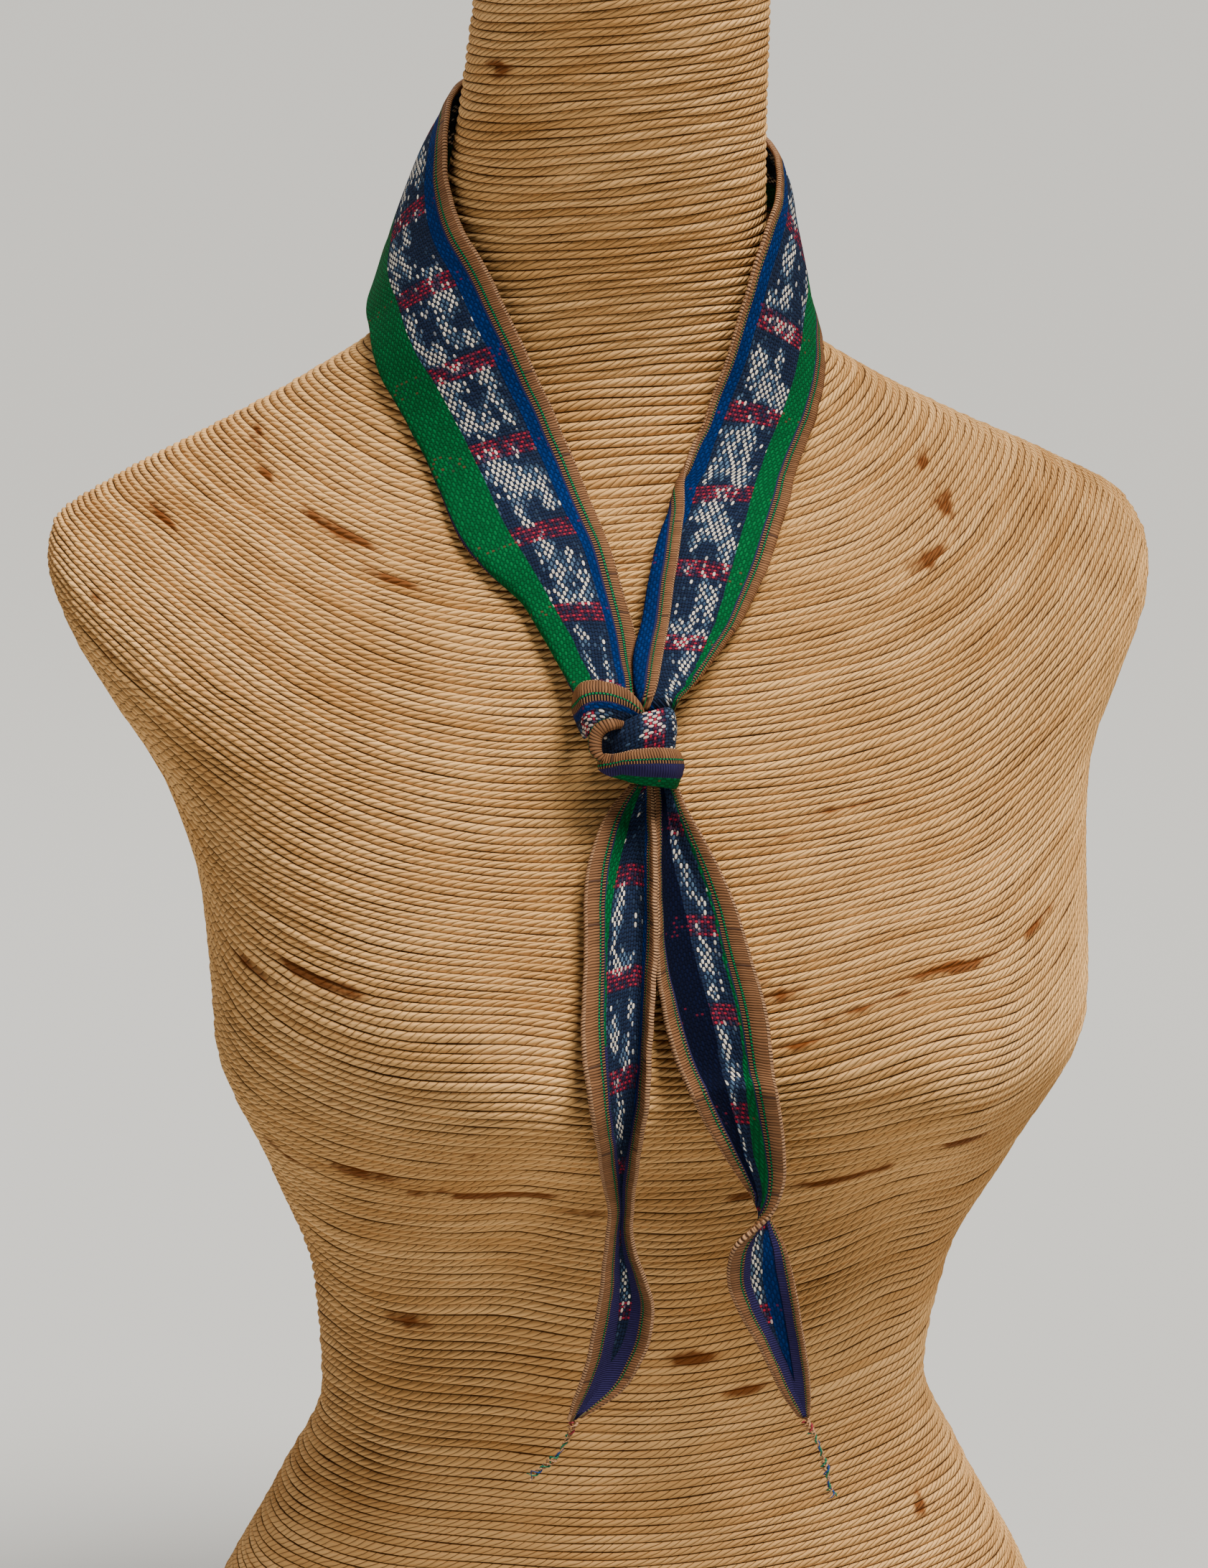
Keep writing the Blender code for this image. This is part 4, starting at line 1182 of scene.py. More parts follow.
@dataclass(frozen=True)
class ScarfFinish:
    """Plain-woven ikat cloth with satin overlocked borders.

    Reads the map "cloth", which holds the place along and across the flat scarf, and the
    map "dye", which holds how far the warps were kept white, the plain satin's share and,
    below 0.4, how far the blue is darkened as painted shade.
    """
    layout: ClothLayout = ClothLayout()
    warp: float = 1.0
    weft: float = 1.5
    band_every: float = 33.0
    band_half: float = 3.9
    satin_pitch: float = 0.92
    chain_pitch: float = 1.1
    cream: Colour = srgb(222, 214, 200)
    pink: Colour = srgb(214, 160, 160)
    navy: Colour = srgb(26, 38, 62)
    slate: Colour = srgb(86, 112, 138)
    blue: Colour = srgb(0, 42, 100)
    shaded_blue: Colour = srgb(4, 10, 36)
    green: Colour = srgb(0, 96, 50)
    red: Colour = srgb(154, 30, 54)
    maroon: Colour = srgb(84, 20, 40)
    dark: Colour = srgb(16, 20, 34)
    tan: Colour = srgb(140, 97, 64)
    tan_deep: Colour = srgb(68, 43, 28)
    rim: Colour = srgb(172, 130, 94)
    bar: Colour = srgb(140, 102, 70)
    # Colour of the painted shade between the bars.
    bar_gap_shade: Colour = srgb(20, 15, 24)
    chain_green: Colour = srgb(18, 128, 70)
    purple: Colour = srgb(52, 46, 92)

    def weave(self, g: Graph, s: Signal, c: Signal, kept: Signal,
              plain: Signal) -> tuple[Signal, Signal]:
        """Plain weave of the cloth between the borders, warps over wefts.

        Args:
            g: the material's nodes.
            s: place along the flat scarf.
            c: place across it.
            kept: how far the warps were kept white.
            plain: how far the blue is darkened as painted shade.

        Returns:
            Colour and relief.
        """
        reached, _ = g.pair("weave")
        column = (reached * (100 / self.warp)).floor()
        x = abs((reached * (100 / self.warp)).fract() - 0.5)
        t = s / self.weft
        cycle = (t + column) / 2
        a = abs(cycle.fract() * 2 - 1) * self.weft
        float_no = (cycle + 0.5).floor()
        warp_edge = (x / 0.49)**2.6 + ((self.weft - a) / 0.92)**2.6
        weft_edge = (x / 0.54)**2 + (a / 0.40)**2
        over = warp_edge.step(1.15, 0.7)
        under = weft_edge.step(1.5, 0.7)
        row = (t + 0.5).floor()
        from_band = abs((row * self.weft / self.band_every + 0.5).fract() - 0.5) * self.band_every
        band = from_band < self.band_half
        luck = (g.chance(column, float_no) - 0.5) * 0.85 + (g.chance(column, 7.0) - 0.5) * 0.4
        amount = kept * 0.8 + luck
        white = amount.step(0.44, 0.56)
        slate = (kept * 1.3 + luck * 0.8).step(0.15, 0.65) * 0.8
        warp = g.mix(slate, self.navy, self.slate)
        warp = g.mix(band * 0.6, warp, self.maroon)
        warp = g.mix(white, warp, g.mix(band * 0.45, self.cream, self.pink))
        # Blue darkened by plain is painted shade.
        blue = g.mix(plain * 2.5, self.blue, self.shaded_blue)
        warp = g.mix(c < self.layout.blue, warp, blue)
        warp = g.mix(c > self.layout.ikat, warp, self.green)
        tone = 0.72 + 0.42 * g.chance(column, float_no + 40.0)
        warp = g.shade(warp, tone)
        weft = g.mix(band, self.navy, self.red)
        weft = g.mix(band * g.chance(row, column).step(0.6, 0.7), weft, self.navy)
        side = (c < self.layout.blue) + (c > self.layout.ikat)
        flecks = band * (g.chance(column, row + 90.0) > 0.72)
        ground = g.mix(c > self.layout.ikat, g.shade(blue, 0.6), g.shade(self.green, 0.6))
        weft = g.mix(side * (1 - flecks * 0.25), weft, ground)
        # The dark between the yarns is painted shade.
        gap = g.mix(side, self.dark, g.shade(ground, 0.8))
        colour = g.mix(under, gap, weft)
        colour = g.mix(over, colour, warp)
        relief = over * (1.1 - warp_edge * 0.6) * 0.28 + under * 0.12
        return colour, relief

    def satin(self, g: Graph, s: Signal, e: Signal) -> tuple[Signal, Signal]:
        """Overlocked border's satin and its chained edge.

        Args:
            g: the material's nodes.
            s: place along the flat scarf.
            e: distance from the cloth's edge.

        Returns:
            Colour and relief.
        """
        wave = g.noise(g.vector(s * 0.12, e * 0.25), 1.0, 1.0) * 0.8
        t = s / self.satin_pitch + wave
        rib = 1 - abs(t.fract() * 2 - 1)
        thread = t.floor()
        luck = g.chance(thread, 3.0)
        colour = g.mix(luck * 0.4, self.tan, self.tan_deep)
        soft = g.noise(g.vector(s * 0.05, e * 0.1, 4.0), 1.0, 2.0)
        # Light and dark across each fine thread are painted shading.
        fine_thread_shading = 1 - abs((s / 0.3 + wave * 3).fract() * 2 - 1)
        colour = g.shade(colour, 0.86 + fine_thread_shading * 0.2 + (soft - 0.5) * 0.5)
        # The dark lines between the satin threads are painted shade.
        gap = rib.step(0.5, 0.08) * (0.6 + e.step(3.0, 5.6) * 0.3)
        colour = g.shade(colour, 1 - gap)
        stray = (luck > 0.988) * rib.step(0.3, 0.8)
        colour = g.mix(stray * 0.7, colour, self.dark)
        loop = 1 - abs((s / 1.05).fract() * 2 - 1)
        edge = e.step(1.0, 0.7)
        # The dark between the edge's loops is painted shade.
        rim = g.mix(loop.step(0.15, 0.6), self.tan_deep, self.rim)
        colour = g.mix(edge, colour, rim)
        return colour, rib * 0.10 - gap * 0.25 + edge * loop.step(0.0, 0.8) * 0.3

    def trim(self, g: Graph, s: Signal, e: Signal) -> tuple[Signal, Signal]:
        """Green chain, the ribs and the thin purple line between satin and cloth.

        Args:
            g: the material's nodes.
            s: place along the flat scarf.
            e: distance from the cloth's edge.

        Returns:
            Colour and relief.
        """
        dash = abs((s / self.chain_pitch).fract() - 0.5)
        chain = dash.step(0.36, 0.24)
        middle = (self.layout.satin + self.layout.chain) / 2
        chain_round = abs(e - middle).step(0.5, 0.2)
        # The dark between and beside the green stitches is painted shade.
        green = g.mix(chain * abs(e - middle).step(0.46, 0.3), self.dark, self.chain_green)
        post = abs((s / self.satin_pitch).fract() - 0.5).step(0.29, 0.15)
        # The dark between the bars is painted shade.
        bars = g.mix(post, self.bar_gap_shade, self.bar)
        line = g.mix(abs((s / 0.6).fract() - 0.5) * 2, self.dark, self.purple)
        colour = g.mix(e > self.layout.chain, green, bars)
        colour = g.mix(e > self.layout.ribs, colour, line)
        in_chain = e < self.layout.chain
        in_bars = e.between(self.layout.chain, self.layout.ribs, 0.05)
        return colour, in_chain * chain * chain_round * 0.3 + in_bars * post * 0.22 + 0.05

    def material(self) -> bpy.types.Material:
        """Material of all the scarf's stretches.

        Returns:
            The material.
        """
        g = Graph("ikat_cloth_woven")
        along, across = g.pair("cloth")
        kept, plain = g.pair("dye")
        s, c = along * 100, across * 100
        e = c.least(self.layout.width - c)
        cloth, cloth_relief = self.weave(g, s, c, kept, plain.least(0.4))
        satin, satin_relief = self.satin(g, s, e)
        trim, trim_relief = self.trim(g, s, e)
        fine = 1 - abs((s / 0.85).fract() * 2 - 1)
        grain = g.noise(g.vector(s * 0.9, c * 0.35, 2.0), 1.0, 2.0)
        # The dark lines between the purple's ribs are painted shade.
        purple = g.shade(self.purple, 0.05 + fine.step(0.0, 0.6) * 0.55 + grain * 0.4)
        is_plain = plain.step(0.45, 0.55)
        cloth = g.mix(is_plain, cloth, purple)
        cloth_relief = cloth_relief * (1 - is_plain) + is_plain * fine * 0.2
        in_trim = e.step(self.layout.trim + 0.05, self.layout.trim - 0.05)
        in_satin = e.step(self.layout.satin + 0.05, self.layout.satin - 0.05)
        colour = g.mix(in_satin, g.mix(in_trim, cloth, trim), satin)
        relief = (cloth_relief * (1 - in_trim) + trim_relief * in_trim * (1 - in_satin)
                  + satin_relief * in_satin)
        dust = g.noise(g.place(), 60.0, 3.0)
        colour = g.shade(colour, 0.86 + dust * 0.28)
        fuzz = g.noise(g.place(), 2600.0, 2.0)
        relief = relief + fuzz * 0.03
        return g.finish(colour, 0.95 - in_satin * 0.35, relief, Specular_IOR_Level=0.1)


@dataclass(frozen=True)
class TwineFinish:
    """Jute twine: three plies, loose fibres, painted shade in the grooves and between the plies, and
    brown streaks.

    Reads the map "winding", which holds the length along the twine and its turns, and the
    map "stain", which holds the brown streaks and how deep a place lies in a groove.
    """
    ply: float = 3.9
    light: Colour = srgb(232, 182, 118)
    body: Colour = srgb(206, 150, 86)
    # Colour of the painted shade in the grooves and between the plies.
    deep: Colour = srgb(84, 47, 19)
    brown: Colour = srgb(104, 50, 14)

    def material(self) -> bpy.types.Material:
        """Material of the wound form.

        Returns:
            The material.
        """
        g = Graph("jute_winding_twine")
        along, turns = g.pair("winding")
        stain, _ = g.pair("stain")
        u, w = along * 100, turns * 100
        turn_no = w.floor()
        y = w.fract() * 2 - 1
        wander = g.noise(g.vector(u * 0.06, turn_no * 1.7, 1.0), 1.0, 1.0)
        phase = u / self.ply + y * 0.8 + wander * 1.8
        plies = phase.fract() * 2 - 1
        dome = 1 - plies * plies
        rope = 1 - y * y
        fibre = g.noise(g.vector(phase * 6.5 + y * 0.6, u * 0.16, turn_no * 3.1), 1.0, 3.0, 0.6)
        thin = g.noise(g.vector(phase * 18.0, u * 0.5, turn_no * 5.3), 1.0, 2.0, 0.6)
        loose = g.noise(g.vector(u * 0.05, w * 0.5, 14.0), 1.0, 2.0)
        groove = (rope - (loose - 0.5) * 0.5).step(0.0, 0.42)
        seam = dome.step(0.0, 0.5)
        blotch = g.noise(g.place(), 22.0, 3.0)
        spool = g.noise(g.vector(u * 0.012, turn_no * 0.83, 9.0), 1.0, 2.0)
        tone = 0.66 + fibre * 0.42 + (g.chance(turn_no) - 0.5) * 0.2
        tone = tone + (blotch - 0.5) * 0.6 + (spool - 0.5) * 0.7
        colour = g.mix(tone.step(0.45, 1.15), self.body, self.light)
        # Painted shade in the seams between the plies.
        colour = g.mix((1 - seam) * (0.5 + loose * 0.55), colour, self.deep)
        # Painted shade in the grooves between the turns: a darker colour there, then a darkening.
        colour = g.mix(1 - groove, colour, self.deep)
        colour = g.shade(colour, (0.45 + groove * 0.55) * (0.6 + tone * 0.42) * (0.9 + thin * 0.2))
        patch = g.noise(g.vector(u * 0.07, turn_no * 3.7, 3.0), 1.0, 3.0)
        streak = (stain * 1.1 + (patch - 0.68) * 1.8).step(0.12, 0.62)
        odd = (g.noise(g.vector(u * 0.016, turn_no * 1.31, 30.0), 1.0, 2.0)).step(0.69, 0.78) * 0.5
        colour = g.mix(streak.most(odd) * 0.9, colour, g.shade(self.brown, 0.6 + fibre * 0.9))
        relief = dome * rope * 0.7 + fibre * 0.22 + thin * 0.08
        return g.finish(colour, 0.95, relief, Specular_IOR_Level=0.08)


@dataclass(frozen=True)
class CoreFinish:
    """Dark folded cloth inside the knot, woven on object coordinates."""
    navy: Colour = srgb(24, 32, 52)
    dark: Colour = srgb(8, 10, 18)

    def material(self) -> bpy.types.Material:
        """Material of the knot's inner body.

        Returns:
            The material.
        """
        g = Graph("ikat_cloth_core")
        split = g.node("ShaderNodeSeparateXYZ", {}, {0: g.place()})
        x, z = Signal(g, split.outputs[0]) * 1000, Signal(g, split.outputs[2]) * 1000
        check = (x * math.pi).sine() * (z * math.pi / 1.4).sine()
        colour = g.mix(check.step(-0.4, 0.6), self.dark, self.navy)
        return g.finish(colour, 0.9, check * 0.15, Specular_IOR_Level=0.2)


@dataclass(frozen=True)
class BoardFinish:
    """Pressed board under the form and in its neck, on object coordinates."""
    face: Colour = srgb(176, 134, 88)
    fleck: Colour = srgb(120, 84, 50)

    def material(self) -> bpy.types.Material:
        """Material of the flat ends.

        Returns:
            The material.
        """
        g = Graph("jute_winding_board")
        grain = g.noise(g.place(), 300.0, 4.0, 0.7)
        cloud = g.noise(g.place(), 25.0, 2.0)
        colour = g.mix(grain.step(0.55, 0.75), self.face, self.fleck)
        colour = g.shade(colour, 0.8 + cloud * 0.4)
        return g.finish(colour, 0.85, grain * 0.2, Specular_IOR_Level=0.3)


@dataclass(frozen=True)
class ThreadFinish:
    """Overlock threads twisted together: tan, with green, blue and red among them."""
    tan: Colour = srgb(178, 132, 92)
    green: Colour = srgb(24, 120, 84)
    blue: Colour = srgb(26, 60, 120)
    red: Colour = srgb(150, 40, 50)

    def material(self) -> bpy.types.Material:
        """Material of the end threads; the map "strand" holds length and strand.

        Returns:
            The material.
        """
        g = Graph("border_thread_twist")
        along, strand = g.pair("strand")
        s, n = along * 100, (strand * 10 + 0.5).floor()
        swap = g.chance(n, (s / 5).floor())
        colour = g.mix((n > 0.5) * (n < 1.5), self.tan, self.green)
        colour = g.mix((n > 1.5) * (swap > 0.4), colour, self.blue)
        colour = g.mix(swap > 0.88, colour, self.red)
        twist = ((s / 0.7) * 6.283).sine() * 0.5 + 0.5
        # Light and dark along the twist are painted shading.
        colour = g.shade(colour, 0.6 + twist * 0.55)
        return g.finish(colour, 0.75, twist * 0.08, Specular_IOR_Level=0.35)


# Pieces

@dataclass
class WoundForm:
    """Dress form: one twine wound from the top of the neck down to the base.

    `calm` gives how far the turns are level at a height, below 0 where they dip more than
    the shortest way down, and `lean` how far they drop to one side, in mm. A row of
    `waves` is how far the turns stray, the waves round the form, the fall over which a
    wave turns by a radian, and its phase.
    """
    form: FormShape
    finish: TwineFinish = TwineFinish()
    board: BoardFinish = BoardFinish()
    pitch: float = 3.1
    twine_radius: float = 1.6
    top: float = 740.0
    top_radius: float = 18.0
    board_thick: float = 3.0
    columns: int = 108
    level_step: float = 2.0
    look_up: int = 5
    look_aside: int = 9
    section_ends: tuple[float, ...] = (592.0, 330.0)
    calm: tuple[tuple[float, float], ...] = ((60, 1.0), (200, 0.75), (300, 0.1), (370, -0.55),
                                             (470, -0.55), (570, 0.0))
    lean: tuple[tuple[float, float], ...] = ((430, 0.0), (560, 2.5), (640, 5.0))
    waves: tuple[tuple[float, float, float, float], ...] = (
        (0.07, 3, 4.7, 0.0), (0.06, 5, -3.1, 1.0), (0.04, 9, 2.3, 2.0), (0.12, 2, -9.0, 0.0))
    row_shares: tuple[float, ...] = (0.0, 0.13, 0.37, 0.63, 0.87)

    def point(self, turn: Array, fall: Array) -> Array:
        """Points of the form and of its flat top.

        Args:
            turn: degrees from the front.
            fall: depths below the top; one below 0 is inside the flat top.

        Returns:
            Points, x, y and z last.
        """
        fall = np.asarray(fall, float)
        rim = self.form.skin(turn, self.top - np.maximum(fall, 0))
        middle = np.array([1.0, -18.0, self.top])
        share = np.clip((self.top_radius + fall) / self.top_radius, 0, 1)[..., None]
        return np.where(fall[..., None] < 0, middle + (rim - middle)*share, rim)

    def wound_length(self, turns: Array, falls: Array) -> Array:
        """Distance over the surface from the middle of the flat top, as the twine lies.

        Args:
            turns: columns round the form.
            falls: levels down from the top.

        Returns:
            Distance by level and column, made level towards the base.
        """
        grid = self.point(turns[None, :], falls[:, None] + 0*turns[None, :])
        reach = np.zeros(grid.shape[:2])
        reach[0] = np.linalg.norm(grid[0] - grid[0].mean(axis=0), axis=1)
        for k in range(1, len(falls)):
            best = np.full(len(turns), np.inf)
            for up in range(1, min(k, self.look_up) + 1):
                for aside in range(-self.look_aside, self.look_aside + 1):
                    far = np.roll(grid[k-up], aside, axis=0)
                    cost = np.roll(reach[k-up], aside) + np.linalg.norm(grid[k] - far, axis=1)
                    best = np.minimum(best, cost)
            reach[k] = best
        for _ in range(3):
            reach = (np.roll(reach, 1, axis=1) + 2*reach + np.roll(reach, -1, axis=1)) / 4
        level = reach.mean(axis=1, keepdims=True)
        z = self.top - falls[:, None]
        calm = np.interp(z, *zip(*self.calm))
        reach = reach*(1 - calm) + level*calm
        lean = np.interp(z, *zip(*self.lean))
        reach = reach + lean*np.sin(np.radians(turns[None, :] + 20))
        return np.maximum.accumulate(reach + 1e-3*np.arange(len(falls))[:, None], axis=0)

    def build(self) -> list[bpy.types.Object]:
        """Make the winding in sections and close the form's base.

        Returns:
            The sections, the board and the plug.
        """
        turns = np.linspace(-180, 180, self.columns + 1)
        falls = np.concatenate([np.linspace(-self.top_radius + 2.5, -1.5, 8),
                                np.arange(0, self.top + 0.1, self.level_step)])
        reach = self.wound_length(turns[:-1], falls)
        reach = np.concatenate([reach, reach[:, :1]], axis=1)
        rounds = reach / self.pitch + turns[None, :] / 360 + self.wander(turns[None, :], falls[:, None])
        last = int(math.ceil(rounds.max()))
        shares = np.array(self.row_shares)
        marks = (np.arange(last + 1)[:, None] + shares[None, :]).reshape(-1)
        drop = np.stack([np.interp(marks, rounds[:, k], falls) for k in range(len(turns))], axis=1)
        deep = 2*np.abs((marks % 1.0) - 0.5)
        sink = self.twine_radius*(np.sqrt(1 - (0.93*deep)**2) - 1)
        ends = (drop <= falls[0]) | (drop >= falls[-1])
        skin = self.point(turns[None, :], drop)
        z = np.clip(self.top - drop, 0, self.top - 0.5)
        out = self.form.out(turns[None, :], z)
        flat = np.clip(-drop / 4 + 1, 0, 1)[..., None]
        out = unit(out*(1 - flat) + np.array([0, 0, 1.0])*flat)
        uneven = 0.13*np.sin(np.radians(turns*9)[None, :] + 2.4*np.floor(marks)[:, None])
        uneven = uneven + 0.10*np.sin(np.radians(turns*4)[None, :] + 4.1*np.floor(marks)[:, None]) - 0.16
        points = skin + out*(np.where(ends, 0, 1)*(sink[:, None] + uneven))[..., None]
        points[..., 2] = np.clip(points[..., 2], 0, self.top)
        along = run_lengths(np.moveaxis(points, 1, 0)).T
        along = along - along[:, self.columns//2][:, None]
        winding = np.stack([along/100, np.repeat(marks[:, None], len(turns), 1)/100], -1)
        stain = self.stains(turns, falls, rounds, marks, along)
        stain = np.stack([stain, np.repeat(deep[:, None], len(turns), 1)], -1)
        heights = (self.top - drop)[:, self.columns//2]
        material = self.finish.material()
        made = []
        names = ("winding_neck", "winding_chest", "winding_waist")
        first = int(np.argmax(~ends.all(axis=1))) - 1
        stops = [int(np.argmax(heights < z)) for z in self.section_ends]
        stops = [max(first, 0)] + [k - k % len(shares) for k in stops] + [self.last_row(ends)]
        for name, low, high in zip(names, stops[:-1], stops[1:]):
            rows = slice(high, low - 1 if low > 0 else None, -1)
            item = grid_piece(name, points[rows], {"winding": winding[rows], "stain": stain[rows]})
            self.close_seam()
            item.data.materials.append(material)
            made.append(item)
        made += self.flat_ends(points[stops[-1]], points[stops[0]])
        for item in made:
            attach(item, "root")
            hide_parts(Piece.FORM.value)
            LOG.info("%s: %d faces", item.name, len(item.data.polygons))
        return made

    def wander(self, turns: Array, falls: Array) -> Array:
        """How far the turns stray from their even places.

        Args:
            turns: columns round the form.
            falls: levels down from the top.

        Returns:
            Shares of a turn.
        """
        angle = np.radians(turns)
        keep = np.clip((self.top - falls)/25, 0, 1)*np.clip(falls/20, 0, 1)
        return keep*sum(size*np.sin(count*angle + falls/long + phase)
                        for size, count, long, phase in self.waves)

    def last_row(self, ends: Array) -> int:
        """First row that lies on the base all round.

        Args:
            ends: whether each point of each row is at an end of the form.

        Returns:
            The row's number.
        """
        done = ends.all(axis=1)
        return len(done) - 1 - int(np.argmax(~done[::-1])) + 1 if done[-1] else len(done) - 1

    def stains(self, turns: Array, falls: Array, rounds: Array, marks: Array,
               along: Array) -> Array:
        """Brown streaks along the twine.

        Args:
            turns: columns round the form.
            falls: levels down from the top.
            rounds: turns of the twine wound by each level and column.
            marks: turns of the twine at each row.
            along: length along the twine by row and column.

        Returns:
            Depths of colour from 0 to 1, by row and column.
        """
        total = np.zeros((len(marks), len(turns)))
        for streak in STREAKS:
            column = int(round((streak.turn + 180) / 360 * self.columns))
            mark = np.interp(self.top - streak.z, falls, rounds[:, column])
            row = int(np.argmin(np.abs(marks - mark)))
            away = (along - along[row, column]) / streak.half_length
            off = (marks - mark)[:, None] / streak.half_turns
            near = np.clip(1.25 - np.sqrt(away**2 + off**2), 0, 1)
            total = np.maximum(total, near*streak.depth)
        return total

    def close_seam(self) -> None:
        """Join the active piece's first and last columns and drop its flattened faces."""
        bpy.ops.object.mode_set(mode="EDIT")
        bpy.ops.mesh.select_all(action="SELECT")
        bpy.ops.mesh.remove_doubles(threshold=2e-5)
        bpy.ops.mesh.dissolve_degenerate(threshold=1e-6)
        bpy.ops.object.mode_set(mode="OBJECT")

    def flat_ends(self, base: Array, top: Array) -> list[bpy.types.Object]:
        """Board that closes the base and plug in the middle of the top.

        Args:
            base: the winding's last row.
            top: its first row.

        Returns:
            The board and the plug.
        """
        made = []
        material = self.board.material()
        for name, ring, z in (("form_base_board", base, 0.0), ("neck_plug", top, self.top - 0.2)):
            count = len(ring) - 1
            bpy.ops.object.select_all(action="DESELECT")
            bpy.ops.mesh.primitive_cylinder_add(vertices=count, radius=1, depth=1)
            item = bpy.context.object
            item.name = item.data.name = name
            middle = ring[:-1].mean(axis=0)
            is_base = z == 0
            inner = middle + (ring[:-1] - middle)*(0.995 if is_base else 1.06)
            turn = np.arctan2(inner[:, 0] - middle[0], inner[:, 1] - middle[1])
            order = np.argsort(turn)
            turn, inner = turn[order], inner[order]
            low, high = (z, z + self.board_thick) if is_base else (z - self.board_thick, z)
            for vertex in item.data.vertices:
                angle = math.atan2(vertex.co.x, vertex.co.y)
                k = int(np.argmin(np.abs((turn - angle + math.pi) % (2*math.pi) - math.pi)))
                level = high if vertex.co.z > 0 else low
                vertex.co = (inner[k][0]*MM, inner[k][1]*MM, level*MM)
            place_at_origin(item)
            bpy.ops.object.shade_flat()
            item.data.materials.append(material)
            made.append(item)
        return made


@dataclass
class Stretch:
    """One stretch of the scarf: a thin wall through its lines, with thick borders.

    `edge_reach` gives the distances from an edge at which a line is read, and `wall` the
    thickness at the distances of `wall_at`. `fan` is the length over which a stretch of
    the knot opens from its fold.
    """
    piece: Piece
    lines: list[Array]
    flat: tuple[float, float]
    held: str
    rests_on: tuple[str, ...]
    along: Sequence[PhaseMark]
    zones: Sequence[Union[ZoneRow, WrapZone]]
    plain: float = 0.0
    whites: Sequence[White] = ()
    fan: float = 0.0
    reverse: bool = False
    shaded: bool = False
    rim_only: bool = False
    with_pieces: tuple[bpy.types.Object, ...] = ()
    layout: ClothLayout = ClothLayout()
    edge_reach: tuple[float, ...] = (0, 0.22, 0.55, 1.0, 1.7, 2.6, 3.8, 5.0, 6.0, 6.8, 7.7, 8.6, 9.3)
    interior: int = 18
    wall_at: tuple[float, ...] = (0, 0.3, 0.8, 1.6, 5.4, 6.3, 8.0, 9.6)
    wall: tuple[float, ...] = (0.8, 1.6, 2.1, 2.2, 2.0, 1.5, 1.2, 0.62)
    rim_wall_at: tuple[float, ...] = (0, 0.15, 0.5, 0.85, 1.0)
    rim_wall: tuple[float, ...] = (0.8, 2.0, 2.4, 2.0, 0.8)
    spare_wall: float = 0.3
    pucker_reach: float = 7.0
    pucker_height: float = 0.14
    opened_at_fold: float = 0.24
    repeat_behind: tuple[float, float, float, float] = (198, 429, 66, 132)

    @property
    def is_wrap(self) -> bool:
        """Whether this is a stretch of the knot, with a border on one side only."""
        return isinstance(self.zones[0], WrapZone)

    def across(self, width: float) -> Array:
        """Distances across the cloth at which its line is read.

        Args:
            width: width of the cloth at this line.

        Returns:
            Distances from one edge to the other.
        """
        near = np.array(self.edge_reach) * min(1.0, width/22)
        middle = np.linspace(near[-1], width - near[-1], self.interior + 2)[1:-1]
        return np.concatenate([near, middle, (width - near)[::-1]])

    def wrap_across(self, width: float) -> Array:
        """Distances across a stretch of the knot at which its line is read.

        Args:
            width: width of the stretch at this line.

        Returns:
            Distances from the rim.
        """
        near = np.array(self.edge_reach[:-3])
        near = near[near < width*0.8]
        return np.concatenate([near, np.linspace(near[-1], width, self.interior)[1:]])

    def read_lines(self) -> tuple[Array, Array]:
        """Read every line at as many places across it.

        Returns:
            Points by line and place, and their distances from the first edge.
        """
        smooth = [spline(line, 120) for line in self.lines]
        runs = [run_lengths(line) for line in smooth]
        if self.is_wrap:
            typical = np.mean([run[-1] for run in runs])
            shares = self.wrap_across(typical)/typical
            width = np.array([shares*run[-1] for run in runs])
        else:
            width = np.array([self.across(run[-1]) for run in runs])
        points = [np.stack([np.interp(at, run, line[:, k]) for k in range(3)], -1)
                  for at, run, line in zip(width, runs, smooth)]
        return np.array(points), width

    def zone_of(self, at: float, distance: Array) -> tuple[Array, Array]:
        """Places on the flat scarf at distances across a line.

        Args:
            at: length along the stretch.
            distance: distances across it.

        Returns:
            Places across the flat scarf, and shares of plain cloth or of painted shade on the blue.
        """
        table = np.array(self.zones)
        if self.is_wrap:
            folded = self.opened_at_fold
            opened = min(1.0, folded + (1 - folded)*at/self.fan) if self.fan else 1.0
            c = np.interp(distance/distance[-1]*opened, table[:, 0], table[:, 1])
            inside = self.layout.green - c
            return c, np.where((inside < self.plain) & (inside > -0.3), 1.0, 0.0)
        row = [np.interp(at, table[:, 0], table[:, k]) for k in range(1, 9)]
        ends = np.concatenate([[0], np.cumsum(row[:7])])
        ends *= distance[-1]/ends[-1]
        c = np.interp(distance, ends, self.layout.bounds())
        inside = np.minimum(distance - ends[2], ends[5] - distance)
        plain = np.clip(0.5 + (row[7] - inside), 0, 1)*(row[7] > 0.3)
        # On a shaded stretch the blue near its start is darkened as painted shade.
        return c, np.maximum(plain, 0.4*self.shaded*(at < 160)*(c < self.layout.blue + 1))

    def kept(self, s: Array, c: Array) -> Array:
        """How far the warps were kept white; behind the neck a length of the chart repeats.

        Args:
            s: places along the flat scarf.
            c: places across it.

        Returns:
            Shares of white.
        """
        amount = np.zeros_like(s)
        start, stop, first, length = self.repeat_behind
        s = np.where((s > start) & (s < stop), first + (s - start) % length, s)
        for patch in self.whites:
            away = np.hypot((s - patch.along)/patch.half_along, (c - patch.across)/patch.half_across)
            amount = np.maximum(amount, np.clip((1.28 - away)/0.9, 0, 1)*patch.amount)
        return amount

